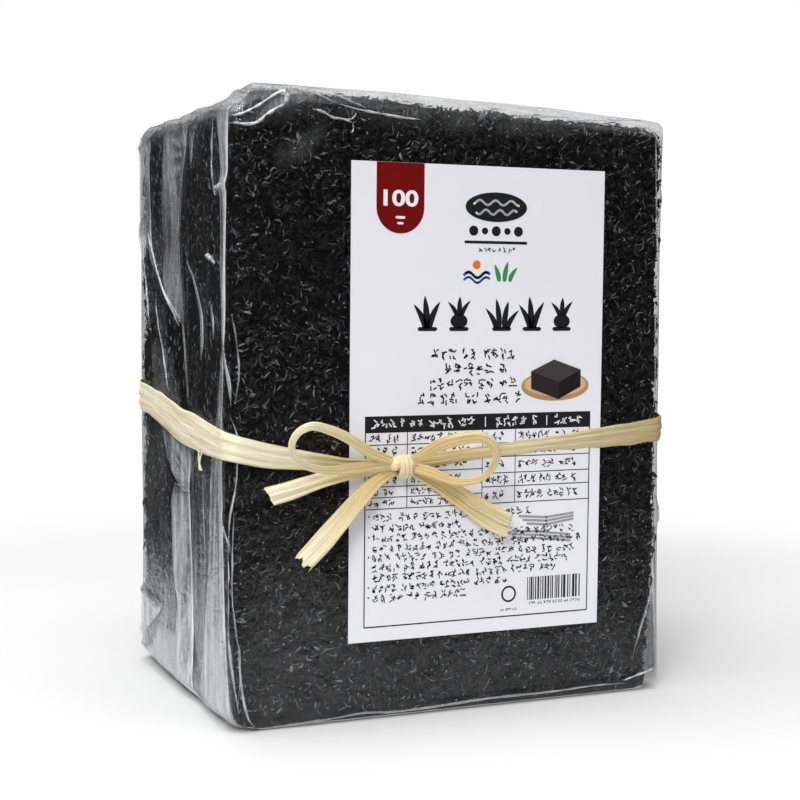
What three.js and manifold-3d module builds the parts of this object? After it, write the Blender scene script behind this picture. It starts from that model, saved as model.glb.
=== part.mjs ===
// A block of a hundred folded nori sheets, sealed in clear film, with a paper label and a raffia tie.
// Units are millimetres. +Z is up, the label faces -Y, and the origin is the middle of the base.

import * as THREE from 'three';
import { mergeVertices } from 'three/addons/utils/BufferGeometryUtils.js';
import Module from 'manifold-3d';

// ---------------------------------------------------------------- driving dimensions

const PACK = {
  width: 153, // left face to right face, half way up
  depth: 112, // front face to rear face
  height: 197.3, // highest point of the film, near the front left corner
  spread: 1.4, // how far the right face leans out at the base and in at the top
};
const EDGE = { // radii of the rounded edges of the film
  frontLeft: 5, frontRight: 4.5, rearLeft: 8, rearRight: 8,
  baseLeft: 8, baseFront: 2.5, baseRight: 4, baseRear: 4,
  topLeft: 5, topFront: 3.5, topRight: 5, topRear: 6,
};
const TOP = {
  sideHeight: 193, // the rim along the left, right and rear edges
  middleHeight: 194.2, // the folded film in the middle of the top
  cornerDrop: 5.2, // how much the front left corner is cut down
  cornerWidth: 9, // over what width
  slope: 4.8, // fall of the front rim towards the right
  slopeStart: -60, // where that fall begins, in x
  slopePower: 1.6,
  blend: 26, // distance over which the front rim turns into the side rim
};
const GUSSET = { // the crease down the middle of each side of the bag
  depth: 2.2,
  halfWidth: 13,
  // how far the left crease wanders from the middle of the side, as [height, y]
  leftPath: [[0, -13], [45, -5], [112, -8], [155, 9], [190, -4]],
  rightPath: [[0, 4], [100, -2], [190, 5]],
};
const LABEL = { width: 89.6, height: 150, thickness: 0.3, left: -37.7, bottom: 25.1 };
const GAP = 0.3; // clearance between pieces that touch

const RAFFIA = { thickness: 0.6 };
const BAND = { // the turn round the pack, as [position along the side, height of the middle, width]
  front: [
    [-75, 87.8, 8.4], [-65, 85.2, 7.9], [-52, 83.1, 5.8], [-37, 81.3, 3.9], [-22, 81.0, 3.3], [-7, 82.1, 4.2],
    [15, 84.6, 4.0], [37, 86.2, 4.8], [59, 87.9, 7.1], [73, 89.4, 8.1],
  ],
  right: [[-50, 90.2, 8.3], [0, 92.4, 7.4], [50, 94.6, 7.2]],
  rear: [[70, 95.2, 7.2], [0, 96.6, 6.8], [-68, 98.2, 8.0]],
  left: [[48, 97.3, 9.9], [24, 94.7, 10.4], [-5, 91.0, 11.2], [-31, 89.2, 10.7], [-51, 88.4, 9.0]],
};
const KNOT = { x: -22, z: 81.2, depth: 4.6 }; // centre of the knot, and how far it stands before the pack

// Bow: middle line as [x, distance before the pack, z]; width and turn run from the knot outwards and back.
// A turn of 0 degrees shows the flat of the straw to the front, 90 shows its edge.
const LOOP_LEFT = {
  path: [
    [-24, 5, 82.2], [-33.2, 8.5, 85.7], [-42.8, 12, 91.2], [-50.8, 14.5, 94.4], [-55.6, 15.5, 95.6],
    [-59.6, 15.5, 94.2], [-61.6, 14.5, 91.4], [-61.6, 13.2, 88.3], [-59.5, 11.5, 85], [-55.2, 10, 82.2],
    [-48, 9, 80.6], [-39.5, 8, 80.8], [-32, 7, 81.2], [-24, 5.5, 81.4],
  ],
  widths: [4.6, 5.4, 5.8, 5.8, 5.4, 4.6],
  turns: [20, 52, 64, 66, 60, 40],
};
const LOOP_RIGHT = {
  path: [
    [-20, 5, 81.8], [-15.4, 8, 84.8], [-11.5, 12, 88.3], [-6.8, 15, 90.2], [-1.6, 17, 90.8],
    [2.5, 17.5, 89.8], [5.2, 17, 86.9], [6, 16, 83.6], [5.6, 14, 80.3], [3.6, 11.5, 77], [-0.9, 9.5, 75.6],
    [-6.7, 8, 76.4], [-13.2, 6.5, 79.1], [-20, 5, 80.8],
  ],
  widths: [4.4, 5.2, 5.6, 5.4, 5.2, 4.4],
  turns: [25, 48, 66, 72, 62, 40],
};
const TAIL_UPPER_LEFT = {
  path: [[-23, 3.4, 80.8], [-34.3, 3.7, 80.0], [-43.3, 4.2, 78.6], [-53.8, 5.6, 76.4], [-61, 7, 74.9], [-68.6, 8.6, 73.2]],
  widths: [3.4, 4.0, 4.6, 5.2, 5.6],
  turns: [0, 8, 12, 12, 10],
};
const TAIL_LOWER_LEFT = {
  path: [[-23, 4, 80.2], [-30.5, 5, 77.4], [-38, 5.6, 71.9], [-44.6, 6, 66.1], [-51, 7, 59.9], [-57.6, 8.4, 53.4]],
  widths: [3.4, 4.8, 6.0, 6.2, 5.6],
  turns: [0, 10, 14, 12, 8],
};
const TAIL_RIGHT = {
  path: [[-21, 3.8, 80.6], [-12.2, 3.6, 77.1], [-4, 3.6, 72.3], [4.4, 4, 66.6], [10.4, 4.8, 62.4], [15.2, 5.8, 59.2]],
  widths: [3.4, 4.2, 5.4, 6.4, 7.2],
  turns: [0, 6, 12, 16, 18],
};

// ---------------------------------------------------------------- helpers

const FRONT = -PACK.depth / 2;
const clamp01 = (value) => Math.min(1, Math.max(0, value));
const smooth = (from, to, value) => {
  const t = clamp01((value - from) / (to - from));
  return t * t * (3 - 2 * t);
};

// A smooth curve through rows of [key, ...values], read at a key.
function tableAt(rows, key) {
  const last = rows.length - 1;
  const rising = rows[last][0] > rows[0][0];
  const passed = (row) => (rising ? key >= row[0] : key <= row[0]);
  let i = 0;
  while (i < last - 1 && passed(rows[i + 1])) i += 1;
  const t = clamp01((key - rows[i][0]) / (rows[i + 1][0] - rows[i][0]));
  const row = (n) => rows[Math.min(last, Math.max(0, n))];
  return rows[i].slice(1).map((_, k) => {
    const [a, b, c, d] = [row(i - 1)[k + 1], row(i)[k + 1], row(i + 1)[k + 1], row(i + 2)[k + 1]];
    return b + 0.5 * t * (c - a + t * (2 * a - 5 * b + 4 * c - d + t * (3 * (b - c) + d - a)));
  });
}

// Values spread evenly over 0 to 1, read at t.
function spread(values, t) {
  const place = t * (values.length - 1);
  const i = Math.min(values.length - 2, Math.floor(place));
  return THREE.MathUtils.lerp(values[i], values[i + 1], place - i);
}

// A closed mesh from rings of equal length, each ring joined to the next, with the ends shut by a fan.
function shell(rings, { endless = false } = {}) {
  const size = rings[0].length;
  const positions = rings.flat().flatMap((p) => [p.x, p.y, p.z]);
  const index = [];
  const at = (ring, k) => (ring % rings.length) * size + (k % size);
  const steps = endless ? rings.length : rings.length - 1;
  for (let ring = 0; ring < steps; ring += 1) {
    for (let k = 0; k < size; k += 1) {
      const [a, b, c, d] = [at(ring, k), at(ring, k + 1), at(ring + 1, k + 1), at(ring + 1, k)];
      index.push(a, b, c, a, c, d);
    }
  }
  const cap = (ring, flip) => {
    const middle = rings[ring].reduce((sum, p) => sum.add(p), new THREE.Vector3()).divideScalar(size);
    const centre = positions.length / 3;
    positions.push(middle.x, middle.y, middle.z);
    for (let k = 0; k < size; k += 1) {
      index.push(centre, flip ? at(ring, k + 1) : at(ring, k), flip ? at(ring, k) : at(ring, k + 1));
    }
  };
  if (!endless) {
    cap(0, true);
    cap(rings.length - 1, false);
  }
  const geometry = new THREE.BufferGeometry();
  geometry.setAttribute('position', new THREE.Float32BufferAttribute(positions, 3));
  geometry.setIndex(index);
  return geometry;
}

// ---------------------------------------------------------------- film pack

const roundIn = (radius, distance) => { // how far a rounded edge is set back at this distance from its end
  if (distance >= radius) return 0;
  return radius - Math.sqrt(radius ** 2 - (radius - distance) ** 2);
};

// Where the four faces stand at a height, after the rounding at the base and the top.
function facesAt(z) {
  const up = z;
  const down = PACK.height - z;
  const rightLean = PACK.spread * Math.cos((Math.PI * z) / PACK.height);
  return {
    left: -PACK.width / 2 + roundIn(EDGE.baseLeft, up) + roundIn(EDGE.topLeft, down),
    right: PACK.width / 2 + rightLean - roundIn(EDGE.baseRight, up) - roundIn(EDGE.topRight, down),
    front: FRONT + roundIn(EDGE.baseFront, up) + roundIn(EDGE.topFront, down),
    rear: PACK.depth / 2 - roundIn(EDGE.baseRear, up) - roundIn(EDGE.topRear, down),
  };
}

// A rounded rectangle, anticlockwise from the front left corner, with `steps` points along each side.
function roundedOutline({ left, right, front, rear }, radii, steps, arcSteps) {
  const corners = [
    [left, front, radii.frontLeft, 1, 1, Math.PI],
    [right, front, radii.frontRight, -1, 1, 1.5 * Math.PI],
    [right, rear, radii.rearRight, -1, -1, 0],
    [left, rear, radii.rearLeft, 1, -1, 0.5 * Math.PI],
  ];
  const points = [];
  corners.forEach(([x, y, radius, sx, sy, start], n) => {
    for (let k = 0; k <= arcSteps; k += 1) {
      const angle = start + (k / arcSteps) * (Math.PI / 2);
      points.push([x + sx * radius + radius * Math.cos(angle), y + sy * radius + radius * Math.sin(angle)]);
    }
    const [nx, ny, nextRadius, nsx, nsy, nextStart] = corners[(n + 1) % 4];
    const from = points[points.length - 1];
    const to = [
      nx + nsx * nextRadius + nextRadius * Math.cos(nextStart),
      ny + nsy * nextRadius + nextRadius * Math.sin(nextStart),
    ];
    for (let k = 1; k < steps; k += 1) {
      points.push([THREE.MathUtils.lerp(from[0], to[0], k / steps), THREE.MathUtils.lerp(from[1], to[1], k / steps)]);
    }
  });
  return points;
}

// The dent of the side gussets, pushed in from the left and right faces.
function gussetDent(x, y, z) {
  const path = x < 0 ? GUSSET.leftPath : GUSSET.rightPath;
  const [crease] = tableAt(path, z);
  const across = clamp01(1 - Math.abs(y - crease) / GUSSET.halfWidth);
  const onSide = smooth(0.93, 0.97, Math.abs(x) / (PACK.width / 2));
  const fade = smooth(0, 14, z) * (1 - 0.5 * smooth(PACK.height - 20, PACK.height, z));
  return -Math.sign(x) * GUSSET.depth * across ** 1.4 * onSide * fade;
}

// Height of the rim of the film at a place on the outline.
function rimHeight(x, y) {
  const fall = TOP.slope * clamp01((x - TOP.slopeStart) / (PACK.width / 2 - TOP.slopeStart)) ** TOP.slopePower;
  const corner = TOP.cornerDrop * (1 - smooth(-PACK.width / 2, -PACK.width / 2 + TOP.cornerWidth, x));
  const frontRim = PACK.height - fall - corner;
  return THREE.MathUtils.lerp(frontRim, TOP.sideHeight, smooth(FRONT + 2, FRONT + TOP.blend, y));
}

function filmPackGeometry() {
  const sideSteps = 12;
  const arcSteps = 4;
  const baseLevels = [0, 0.5, 1.5, 3, 5, 8];
  const wallLevels = Array.from({ length: 15 }, (_, k) => 8 + ((k + 1) * (PACK.height - 14)) / 15);
  const topLevels = [3.6, 2, 0.9, 0.25, 0].map((distance) => PACK.height - distance);
  const rings = [...baseLevels, ...wallLevels, ...topLevels].map((z) =>
    roundedOutline(facesAt(z), EDGE, sideSteps, arcSteps).map(([x, y]) =>
      new THREE.Vector3(x + gussetDent(x, y, z), y, (z * rimHeight(x, y)) / PACK.height)));
  const rim = rings[rings.length - 1];
  for (const share of [0.94, 0.84, 0.66, 0.4, 0.15]) {
    const settled = smooth(1, 0.75, share);
    rings.push(rim.map((p) => new THREE.Vector3(
      p.x * share, p.y * share, THREE.MathUtils.lerp(p.z, TOP.middleHeight, settled))));
  }
  return shell(rings);
}

// ---------------------------------------------------------------- label

function labelGeometry() {
  return new THREE.BoxGeometry(LABEL.width, LABEL.thickness, LABEL.height);
}

// ---------------------------------------------------------------- raffia

const FACE_OF_TIE = GAP + LABEL.thickness + GAP + RAFFIA.thickness / 2; // from the film to the middle of the straw

// Four corners of the straw's section, from its middle, its width direction and the way it faces.
function strawSection(middle, across, facing, width) {
  const half = across.clone().multiplyScalar(width / 2);
  const thick = facing.clone().multiplyScalar(RAFFIA.thickness / 2);
  return [
    middle.clone().add(half).add(thick),
    middle.clone().sub(half).add(thick),
    middle.clone().sub(half).sub(thick),
    middle.clone().add(half).sub(thick),
  ];
}

// The turn round the pack: it stands on the outline of the pack, a little outside it.
function bandGeometry() {
  const faces = facesAt(PACK.height / 2);
  const outside = {
    left: faces.left - FACE_OF_TIE, right: faces.right + FACE_OF_TIE + 0.4,
    front: faces.front - FACE_OF_TIE, rear: faces.rear + FACE_OF_TIE,
  };
  const radii = Object.fromEntries(Object.entries(EDGE).map(([name, radius]) => [name, radius + FACE_OF_TIE]));
  const plan = roundedOutline(outside, radii, 20, 5);
  const rings = plan.map(([x, y], k) => {
    const before = plan[(k + plan.length - 1) % plan.length];
    const after = plan[(k + 1) % plan.length];
    const facing = new THREE.Vector3(after[1] - before[1], before[0] - after[0], 0).normalize();
    const onFront = -facing.y > Math.SQRT1_2;
    const onRear = facing.y > Math.SQRT1_2;
    const side = onFront ? BAND.front : onRear ? BAND.rear : facing.x > 0 ? BAND.right : BAND.left;
    const [height, width] = tableAt(side, onFront || onRear ? x : y);
    return strawSection(new THREE.Vector3(x, y, height), new THREE.Vector3(0, 0, 1), facing, width);
  });
  return shell(rings, { endless: true });
}

// One strand of the bow along its middle line.
function strandGeometry({ path, widths, turns }, steps) {
  const curve = new THREE.CatmullRomCurve3(path.map(([x, out, z]) => new THREE.Vector3(x, FRONT - out, z)), false, 'centripetal');
  const viewer = new THREE.Vector3(0, -1, 0);
  const rings = [];
  for (let k = 0; k <= steps; k += 1) {
    const t = k / steps;
    const tangent = curve.getTangentAt(t);
    const flat = new THREE.Vector3().crossVectors(viewer, tangent).normalize();
    const turn = THREE.MathUtils.degToRad(spread(turns, t));
    const toViewer = new THREE.Vector3().crossVectors(tangent, flat).normalize();
    const across = flat.multiplyScalar(Math.cos(turn)).addScaledVector(toViewer, Math.sin(turn));
    const facing = new THREE.Vector3().crossVectors(tangent, across).normalize();
    rings.push(strawSection(curve.getPointAt(t), across, facing, spread(widths, t)));
  }
  return shell(rings);
}

// The knot: a wrap that lies across and a lobe that is pulled down over it.
function knotGeometries() {
  const y = FRONT - KNOT.depth;
  const wrap = new THREE.SphereGeometry(1, 18, 10).scale(4.8, 3.2, 2.7).translate(KNOT.x, y, KNOT.z + 1.2);
  const lobe = new THREE.SphereGeometry(1, 16, 10).scale(2.9, 3.6, 4.1).translate(KNOT.x + 1, y, KNOT.z - 0.4);
  return [wrap, lobe];
}

const wasm = await Module();
wasm.setup();

function toSolid(geometry) {
  const bare = geometry.clone();
  bare.deleteAttribute('normal');
  bare.deleteAttribute('uv');
  const merged = mergeVertices(bare, 1e-4);
  return new wasm.Manifold(new wasm.Mesh({
    numProp: 3,
    vertProperties: new Float32Array(merged.attributes.position.array),
    triVerts: new Uint32Array(merged.index.array),
  }));
}

function toGeometry(solid) {
  const mesh = solid.getMesh();
  const geometry = new THREE.BufferGeometry();
  geometry.setAttribute('position', new THREE.Float32BufferAttribute(mesh.vertProperties, 3));
  geometry.setIndex(new THREE.Uint32BufferAttribute(mesh.triVerts, 1));
  return geometry;
}

// The whole tie is one length of straw, so its turn, knot, loops and ends are one solid. Specks that the
// join leaves inside the knot are dropped.
function raffiaGeometry() {
  const pieces = [
    bandGeometry(),
    ...knotGeometries(),
    strandGeometry(LOOP_LEFT, 40),
    strandGeometry(LOOP_RIGHT, 40),
    strandGeometry(TAIL_UPPER_LEFT, 12),
    strandGeometry(TAIL_LOWER_LEFT, 12),
    strandGeometry(TAIL_RIGHT, 12),
  ];
  const joined = pieces.map(toSolid).reduce((whole, piece) => whole.add(piece));
  const [largest] = joined.decompose().sort((a, b) => b.volume() - a.volume());
  return toGeometry(largest);
}

// ---------------------------------------------------------------- the part

function named(name, geometry, material) {
  const mesh = new THREE.Mesh(geometry, material);
  geometry.computeVertexNormals();
  mesh.name = name;
  return mesh;
}

const filmMaterial = new THREE.MeshStandardMaterial({ color: 0x1d1e20, roughness: 0.25, metalness: 0 });
const paperMaterial = new THREE.MeshStandardMaterial({ color: 0xe8e8ec, roughness: 0.6, metalness: 0 });
const strawMaterial = new THREE.MeshStandardMaterial({ color: 0xe6d090, roughness: 0.65, metalness: 0 });

const film = named('film_pack', filmPackGeometry(), filmMaterial);

const label = named('label', labelGeometry(), paperMaterial);
label.position.set(
  LABEL.left + LABEL.width / 2,
  FRONT - GAP - LABEL.thickness / 2,
  LABEL.bottom + LABEL.height / 2,
);

const tie = named('raffia_tie', raffiaGeometry(), strawMaterial);

const noriPack = new THREE.Group();
noriPack.add(film, label, tie);

export default noriPack;
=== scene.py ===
"""A block of folded nori sheets in clear film, with a paper label and a raffia bow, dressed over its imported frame."""

import math

import bpy
import numpy as np
from mathutils import Matrix, Vector


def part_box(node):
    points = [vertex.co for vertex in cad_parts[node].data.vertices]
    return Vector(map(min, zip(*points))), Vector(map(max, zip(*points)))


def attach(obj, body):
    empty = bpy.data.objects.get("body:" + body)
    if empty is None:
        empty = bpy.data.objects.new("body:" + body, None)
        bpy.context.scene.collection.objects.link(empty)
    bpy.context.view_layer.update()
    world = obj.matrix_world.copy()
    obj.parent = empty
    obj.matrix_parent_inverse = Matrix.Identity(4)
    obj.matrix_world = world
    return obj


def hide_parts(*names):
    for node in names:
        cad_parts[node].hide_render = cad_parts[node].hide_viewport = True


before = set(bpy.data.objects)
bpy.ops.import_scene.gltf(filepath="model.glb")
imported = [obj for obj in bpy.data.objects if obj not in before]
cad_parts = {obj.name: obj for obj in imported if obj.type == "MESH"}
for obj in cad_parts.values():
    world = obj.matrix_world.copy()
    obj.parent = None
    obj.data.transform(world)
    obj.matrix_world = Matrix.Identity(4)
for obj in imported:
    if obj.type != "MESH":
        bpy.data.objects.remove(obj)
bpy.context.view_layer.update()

bl_info = {
    "name": "Nori sheet pack",
    "version": (1, 0, 0),
    "blender": (4, 5, 0),
    "location": "View3D > Sidebar > Nori pack",
    "description": "Dresses a film pack of nori sheets with its sheets, film, label, print and raffia tie",
    "category": "Object",
}

BODY = "root"
MM = 0.001  # every size below is in millimetres, and becomes metres where a mesh is written

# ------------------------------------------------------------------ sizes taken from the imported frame

PACK_LOW, PACK_HIGH = (np.array(corner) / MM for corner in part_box("film_pack"))
LABEL_LOW, LABEL_HIGH = (np.array(corner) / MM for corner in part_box("label"))
FRONT, REAR = PACK_LOW[1], PACK_HIGH[1]
LEFT = PACK_LOW[0]
HEIGHT = PACK_HIGH[2]
SPREAD = 1.4  # how far the right face leans out at the base and in at the top
RIGHT = PACK_HIGH[0] - SPREAD  # the right face half way up

# ------------------------------------------------------------------ form of the bag, close to the frame's

CORNERS = {"front_left": 5, "front_right": 4.5, "rear_left": 8, "rear_right": 8}
BASE_EDGE = {"left": 8, "front": 2.5, "right": 4, "rear": 4}
TOP_EDGE = {"left": 5, "front": 3.5, "right": 2.4, "rear": 6}
SIDE_RIM = 193.0  # height of the film along the left, right and rear edges
MIDDLE_RIM = 194.2
CORNER_DROP, CORNER_WIDTH = 5.2, 9.0  # how the front left corner is cut down
SLOPE, SLOPE_START, SLOPE_POWER = 4.8, -60.0, 1.6  # fall of the front rim to the right
RIM_BLEND = 26.0
GUSSET_DEPTH, GUSSET_HALF = 2.6, 13.0
# the crease down each side, as rows of height and y
LEFT_CREASE = ((0, -16), (9, -16), (18, -11.3), (29, -8.9), (46, -7.1), (72, -6.6), (98, -4.2), (122, 1.9),
               (150, 8.1), (162, 6.8), (174, 3.0), (188, -4.4))
RIGHT_CREASE = ((0, 4), (60, 0), (100, -2), (150, 2), (190, 5))

# ------------------------------------------------------------------ folds of the film
# Left face: points are (y, z). Front face: points are (x, z). Rear face: (x, z). Top: (x, y).
# A fold is (width, height, shine, points): a thin ridge that catches the light.

LEFT_FOLDS = (
    (0.5, 0.35, 0.4, ((-9.3, 186.3), (-6.1, 180.1), (-1.9, 170.4), (2.4, 159.9), (4.4, 150))),
    (0.7, 0.5, 0.5, ((41.6, 159.5), (33.2, 150.5), (23.8, 140), (13.3, 131.5), (4.4, 122.9))),
    (0.8, 0.5, 0.4, ((54.6, 161.8), (47.4, 152.6), (41.7, 141.9), (37.6, 131.3), (34.9, 120.8))),
    (0.9, 0.6, 0.55, ((54.4, 184.4), (37.1, 187.9), (23.5, 190.2))),
    (0.6, 0.4, 0.4, ((-41.2, 187), (-40.6, 174.3), (-41.9, 166.8), (-43.4, 163.6))),
    (1.6, 0.8, 1.0, ((-44.6, 166.5), (-47, 166), (-51.5, 166.8))),
    (1.8, 0.8, 0.9, ((-36.5, 146), (-40, 144.6), (-44.5, 143))),
    (0.5, 0.4, 0.5, ((-49.4, 67.4), (-52.8, 62.5), (-55.6, 57))),
    (0.7, 0.6, 0.6, ((52, 26.1), (38.4, 25.1), (24.5, 23.1))),
    (0.6, 0.5, 0.45, ((24.5, 23.1), (44.3, 13.8), (52, 10.5))),
    (0.8, 0.5, 0.5, ((-6.5, 29.1), (-2.8, 19.9), (2.2, 10.3))),
    (0.6, 0.4, 0.4, ((28, 132), (24, 122), (16, 112), (10, 100))),
    (1.5, 0.5, 0.65, ((52, 6.5), (30, 5.2), (5, 4.2), (-20, 3.2), (-45, 2.6))),
    (0.5, 0.3, 0.4, ((-30.5, 78), (-31.5, 64), (-33, 52), (-32, 40))),
    (0.6, 0.4, 0.4, ((-41, 90), (-39.5, 72), (-38.6, 60))),
    (0.7, 0.4, 0.45, ((-45.5, 90), (-44.8, 70), (-42.2, 50), (-41.4, 30), (-43, 12))),
    (0.6, 0.4, 0.5, ((-48.6, 98), (-47.9, 80), (-49.4, 60), (-50.6, 40), (-51.4, 22))),
)
FRONT_FOLDS = (
    (0.9, 0.8, 0.95, ((-76, 186.8), (-73.2, 187.2), (-68.5, 189.5), (-65.4, 191.5), (-62.2, 193.7), (-59.1, 195.2))),
    (1.1, 0.9, 1.0, ((-75.8, 184.7), (-72.2, 184.3), (-69.4, 184.5), (-67.6, 185.4), (-64.4, 188), (-60.7, 190.2),
                     (-58.4, 191.3))),
    (2.4, 0.8, 1.0, ((-61.4, 194.6), (-59.2, 193.8), (-58.9, 192.4), (-59.6, 190.8))),
    (0.7, 0.5, 0.8, ((-50.5, 189.9), (-47.2, 189.2), (-44, 187.7), (-40.7, 187.4), (-37.4, 186.4))),
    (0.5, 0.4, 0.6, ((-40.7, 187.4), (-37.6, 187.6), (-36.2, 189.6))),
    (0.5, 0.4, 0.55, ((-37.4, 186.4), (-37.2, 184.4), (-38.1, 183.2))),
    (0.5, 0.5, 0.5, ((-57.5, 195.9), (-52, 195.2), (-47, 193.6), (-42, 191.8))),
    (0.7, 0.7, 0.95, ((-42, 191.8), (-34.8, 190.4), (-28.2, 189.6), (-21.5, 188.9), (-14.7, 188.5))),
    (0.6, 0.5, 0.45, ((-52, 195.4), (-44, 194.6), (-38, 192.8), (-33.2, 191.2))),
    (0.5, 0.5, 0.6, ((-75.5, 97), (-73.8, 91.1), (-73.8, 82.6), (-74.2, 76), (-75.5, 68.2), (-76, 60.3))),
    (0.7, 0.6, 0.75, ((-76, 60.3), (-76.2, 50), (-76.3, 40), (-76, 30), (-75.2, 19.8), (-73.3, 6.9))),
    (0.5, 0.4, 0.5, ((-74.6, 68.2), (-75.0, 56.3), (-75.0, 43.1), (-74.0, 31.0), (-73.0, 24.9), (-72.8, 17.5),
                     (-73.4, 9.6))),
    (0.7, 0.5, 0.7, ((-73.3, 25), (-72.3, 12.8), (-70.5, 5.2), (-68.1, 1.6))),
    (0.5, 0.4, 0.5, ((-73.8, 92), (-72.6, 89.5), (-71.4, 86))),
    (0.6, 0.4, 0.45, ((71.2, 189), (71.6, 176), (72.2, 160), (73.4, 140))),
    (0.6, 0.4, 0.4, ((72.4, 130), (72.9, 110), (72.6, 97))),
    (0.9, 0.5, 0.35, ((73.6, 38.5), (72.2, 31.1), (69.2, 22.7), (66.3, 12.6))),
    (0.9, 0.6, 0.8, ((62.5, 4.3), (69.6, 6.1), (75.2, 7.6))),
    (0.6, 0.5, 0.5, ((66, 190.6), (69.5, 189.4), (71.5, 187), (72.6, 184))),
    (0.6, 0.4, 0.4, ((-74.5, 101), (-73.3, 110), (-74.2, 121), (-75.5, 128))),
    (0.8, 0.5, 0.42, ((-62, 1.2), (-45, 1.6), (-32, 2.6), (-22, 1.8), (-6, 2.2), (12, 3.0), (34, 3.0), (52, 3.6),
                      (64, 3.2))),
)
REAR_FOLDS = (
    (1.6, 0.9, 0.6, ((0, 3), (1.5, 60), (-1, 120), (0.5, 186))),
    (0.9, 0.6, 0.45, ((12, 3), (13, 60), (11, 120), (12.5, 186))),
    (0.9, 0.7, 0.5, ((-70, 176), (-50, 186), (-20, 184), (0, 187))),
    (0.9, 0.7, 0.45, ((72, 172), (55, 184), (30, 182), (12, 187))),
    (0.8, 0.5, 0.4, ((-70, 22), (-48, 12), (-20, 8))),
)
TOP_FOLDS = (
    (1.6, 0.9, 0.6, ((-70, 6), (-30, 9), (0, 8), (40, 10), (70, 7))),
    (1.0, 0.7, 0.5, ((-72, -46), (-48, -14), (-30, 9))),
    (1.0, 0.7, 0.5, ((72, -46), (50, -12), (34, 9))),
    (1.0, 0.7, 0.5, ((-70, 46), (-46, 28), (-30, 9))),
    (1.0, 0.7, 0.5, ((71, 46), (50, 30), (34, 9))),
    (0.8, 0.5, 0.4, ((-60, -30), (-20, -34), (25, -28), (60, -32))),
    (0.8, 0.5, 0.4, ((-62, 34), (-10, 38), (50, 33))),
)
# A pleat is doubled film: how bright its rear and front edges are, then rows of
# (height, rear edge y, front edge y, strength) down the left face.
LEFT_PLEATS = (
    ((0.0, 0.25), ((189, 56, 34, 0.36), (180, 57, 38, 0.30), (169, 57, 36.7, 0.24), (160, 56, 35.6, 0.2),
                   (154, 54, 34, 0.05))),
    ((0.25, 0.4), ((163, 48.4, 40, 0.05), (158, 45.4, 36, 0.16), (151, 40.6, 33, 0.24), (144, 33.6, 28.5, 0.28),
                   (137, 23, 19.6, 0.3), (130, 13.6, 10.4, 0.34), (124.4, 5.2, 3.0, 0.3))),
    ((0.12, 0.8), ((189, 16.6, -5.6, 0.34), (178, 18.7, -0.4, 0.27), (163, 20.1, 4.9, 0.2), (151, 18.9, 6.5, 0.2),
                   (138, 18.9, 4.2, 0.2), (131, 13, 2.9, 0.17), (123.5, 3.7, 1.6, 0.2))),
    ((0.0, 0.0), ((126, 3.6, 2.0, 0.25), (118, 1.6, -4.6, 0.2), (110, -0.2, -9.2, 0.17), (103, -1.8, -9.6, 0.17),
                  (96, -3.4, -8.4, 0.1))),
    ((0.75, 0.0), ((125, 2.8, 1.4, 0.4), (116, 0.7, -0.8, 0.32), (107, -1.0, -3.0, 0.28), (98, -3.4, -5.4, 0.3))),
    ((0.3, 0.3), ((187, -13.2, -19.8, 0.16), (180, -14.2, -17.4, 0.14), (174, -15.2, -15.9, 0.12))),
    ((0.3, 0.3), ((145, -10.2, -11.2, 0.2), (139.6, -16.6, -18.6, 0.2), (133, -22.4, -24.6, 0.24),
                  (126.7, -25.8, -28.6, 0.28), (119, -26.8, -29.6, 0.28), (113, -26.4, -27.8, 0.12))),
    ((0.2, 0.2), ((131.5, -36.9, -37.5, 0.14), (125.7, -38.3, -40.4, 0.26), (120, -39.5, -40.3, 0.14))),
    ((0.3, 0.8), ((190, -43, -53.6, 0.42), (180, -46.5, -53.2, 0.4), (171, -47.6, -53.2, 0.4),
                  (162, -47.2, -52.6, 0.42), (152, -47.6, -52.6, 0.42), (143, -47.2, -52.4, 0.42),
                  (134, -47.8, -52.6, 0.4), (126, -48.6, -52.6, 0.4), (117, -49, -51.6, 0.4))),
    ((0.4, 0.3), ((118, -48.8, -51.1, 0.34), (109, -46.8, -50.8, 0.24), (100, -44.9, -50.2, 0.24),
                  (91, -42.7, -50.0, 0.22), (78, -40.4, -49.6, 0.2), (63, -37.2, -51, 0.22), (50, -35.4, -52.2, 0.24),
                  (36, -33.6, -53, 0.28), (21, -31, -54, 0.34), (7, -27.6, -55, 0.36), (1.5, -26.6, -55, 0.3))),
    ((0.35, 0.35), ((118, -50.9, -51.6, 0.3), (109, -53.2, -54.6, 0.24), (100.5, -55.0, -56.0, 0.16))),
    ((0.2, 0.7), ((88.5, 21, -6.2, 0.26), (79.7, 13.6, -6.3, 0.26), (73.2, 5.3, -6.0, 0.3), (68.2, -1.6, -5.8, 0.3))),
    ((0.1, 0.65), ((70.5, 4.6, -5.8, 0.16), (63, 7.2, -6.2, 0.32), (54, 6.7, -6.8, 0.34), (41.5, 5.2, -7.8, 0.34),
                   (30, 1.0, -8.9, 0.38), (15, 2.6, -10.9, 0.34), (1.2, 1.2, -15.7, 0.34))),
    ((0.0, 0.0), ((27, 54, 17, 0.2), (22, 54, 24, 0.34), (14, 54, 40, 0.3), (9, 54, 48, 0.2))),
    ((0.0, 0.2), ((20, 22, 4, 0.16), (12, 30, -2, 0.3), (1.2, 48, -12, 0.36))),
)
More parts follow.
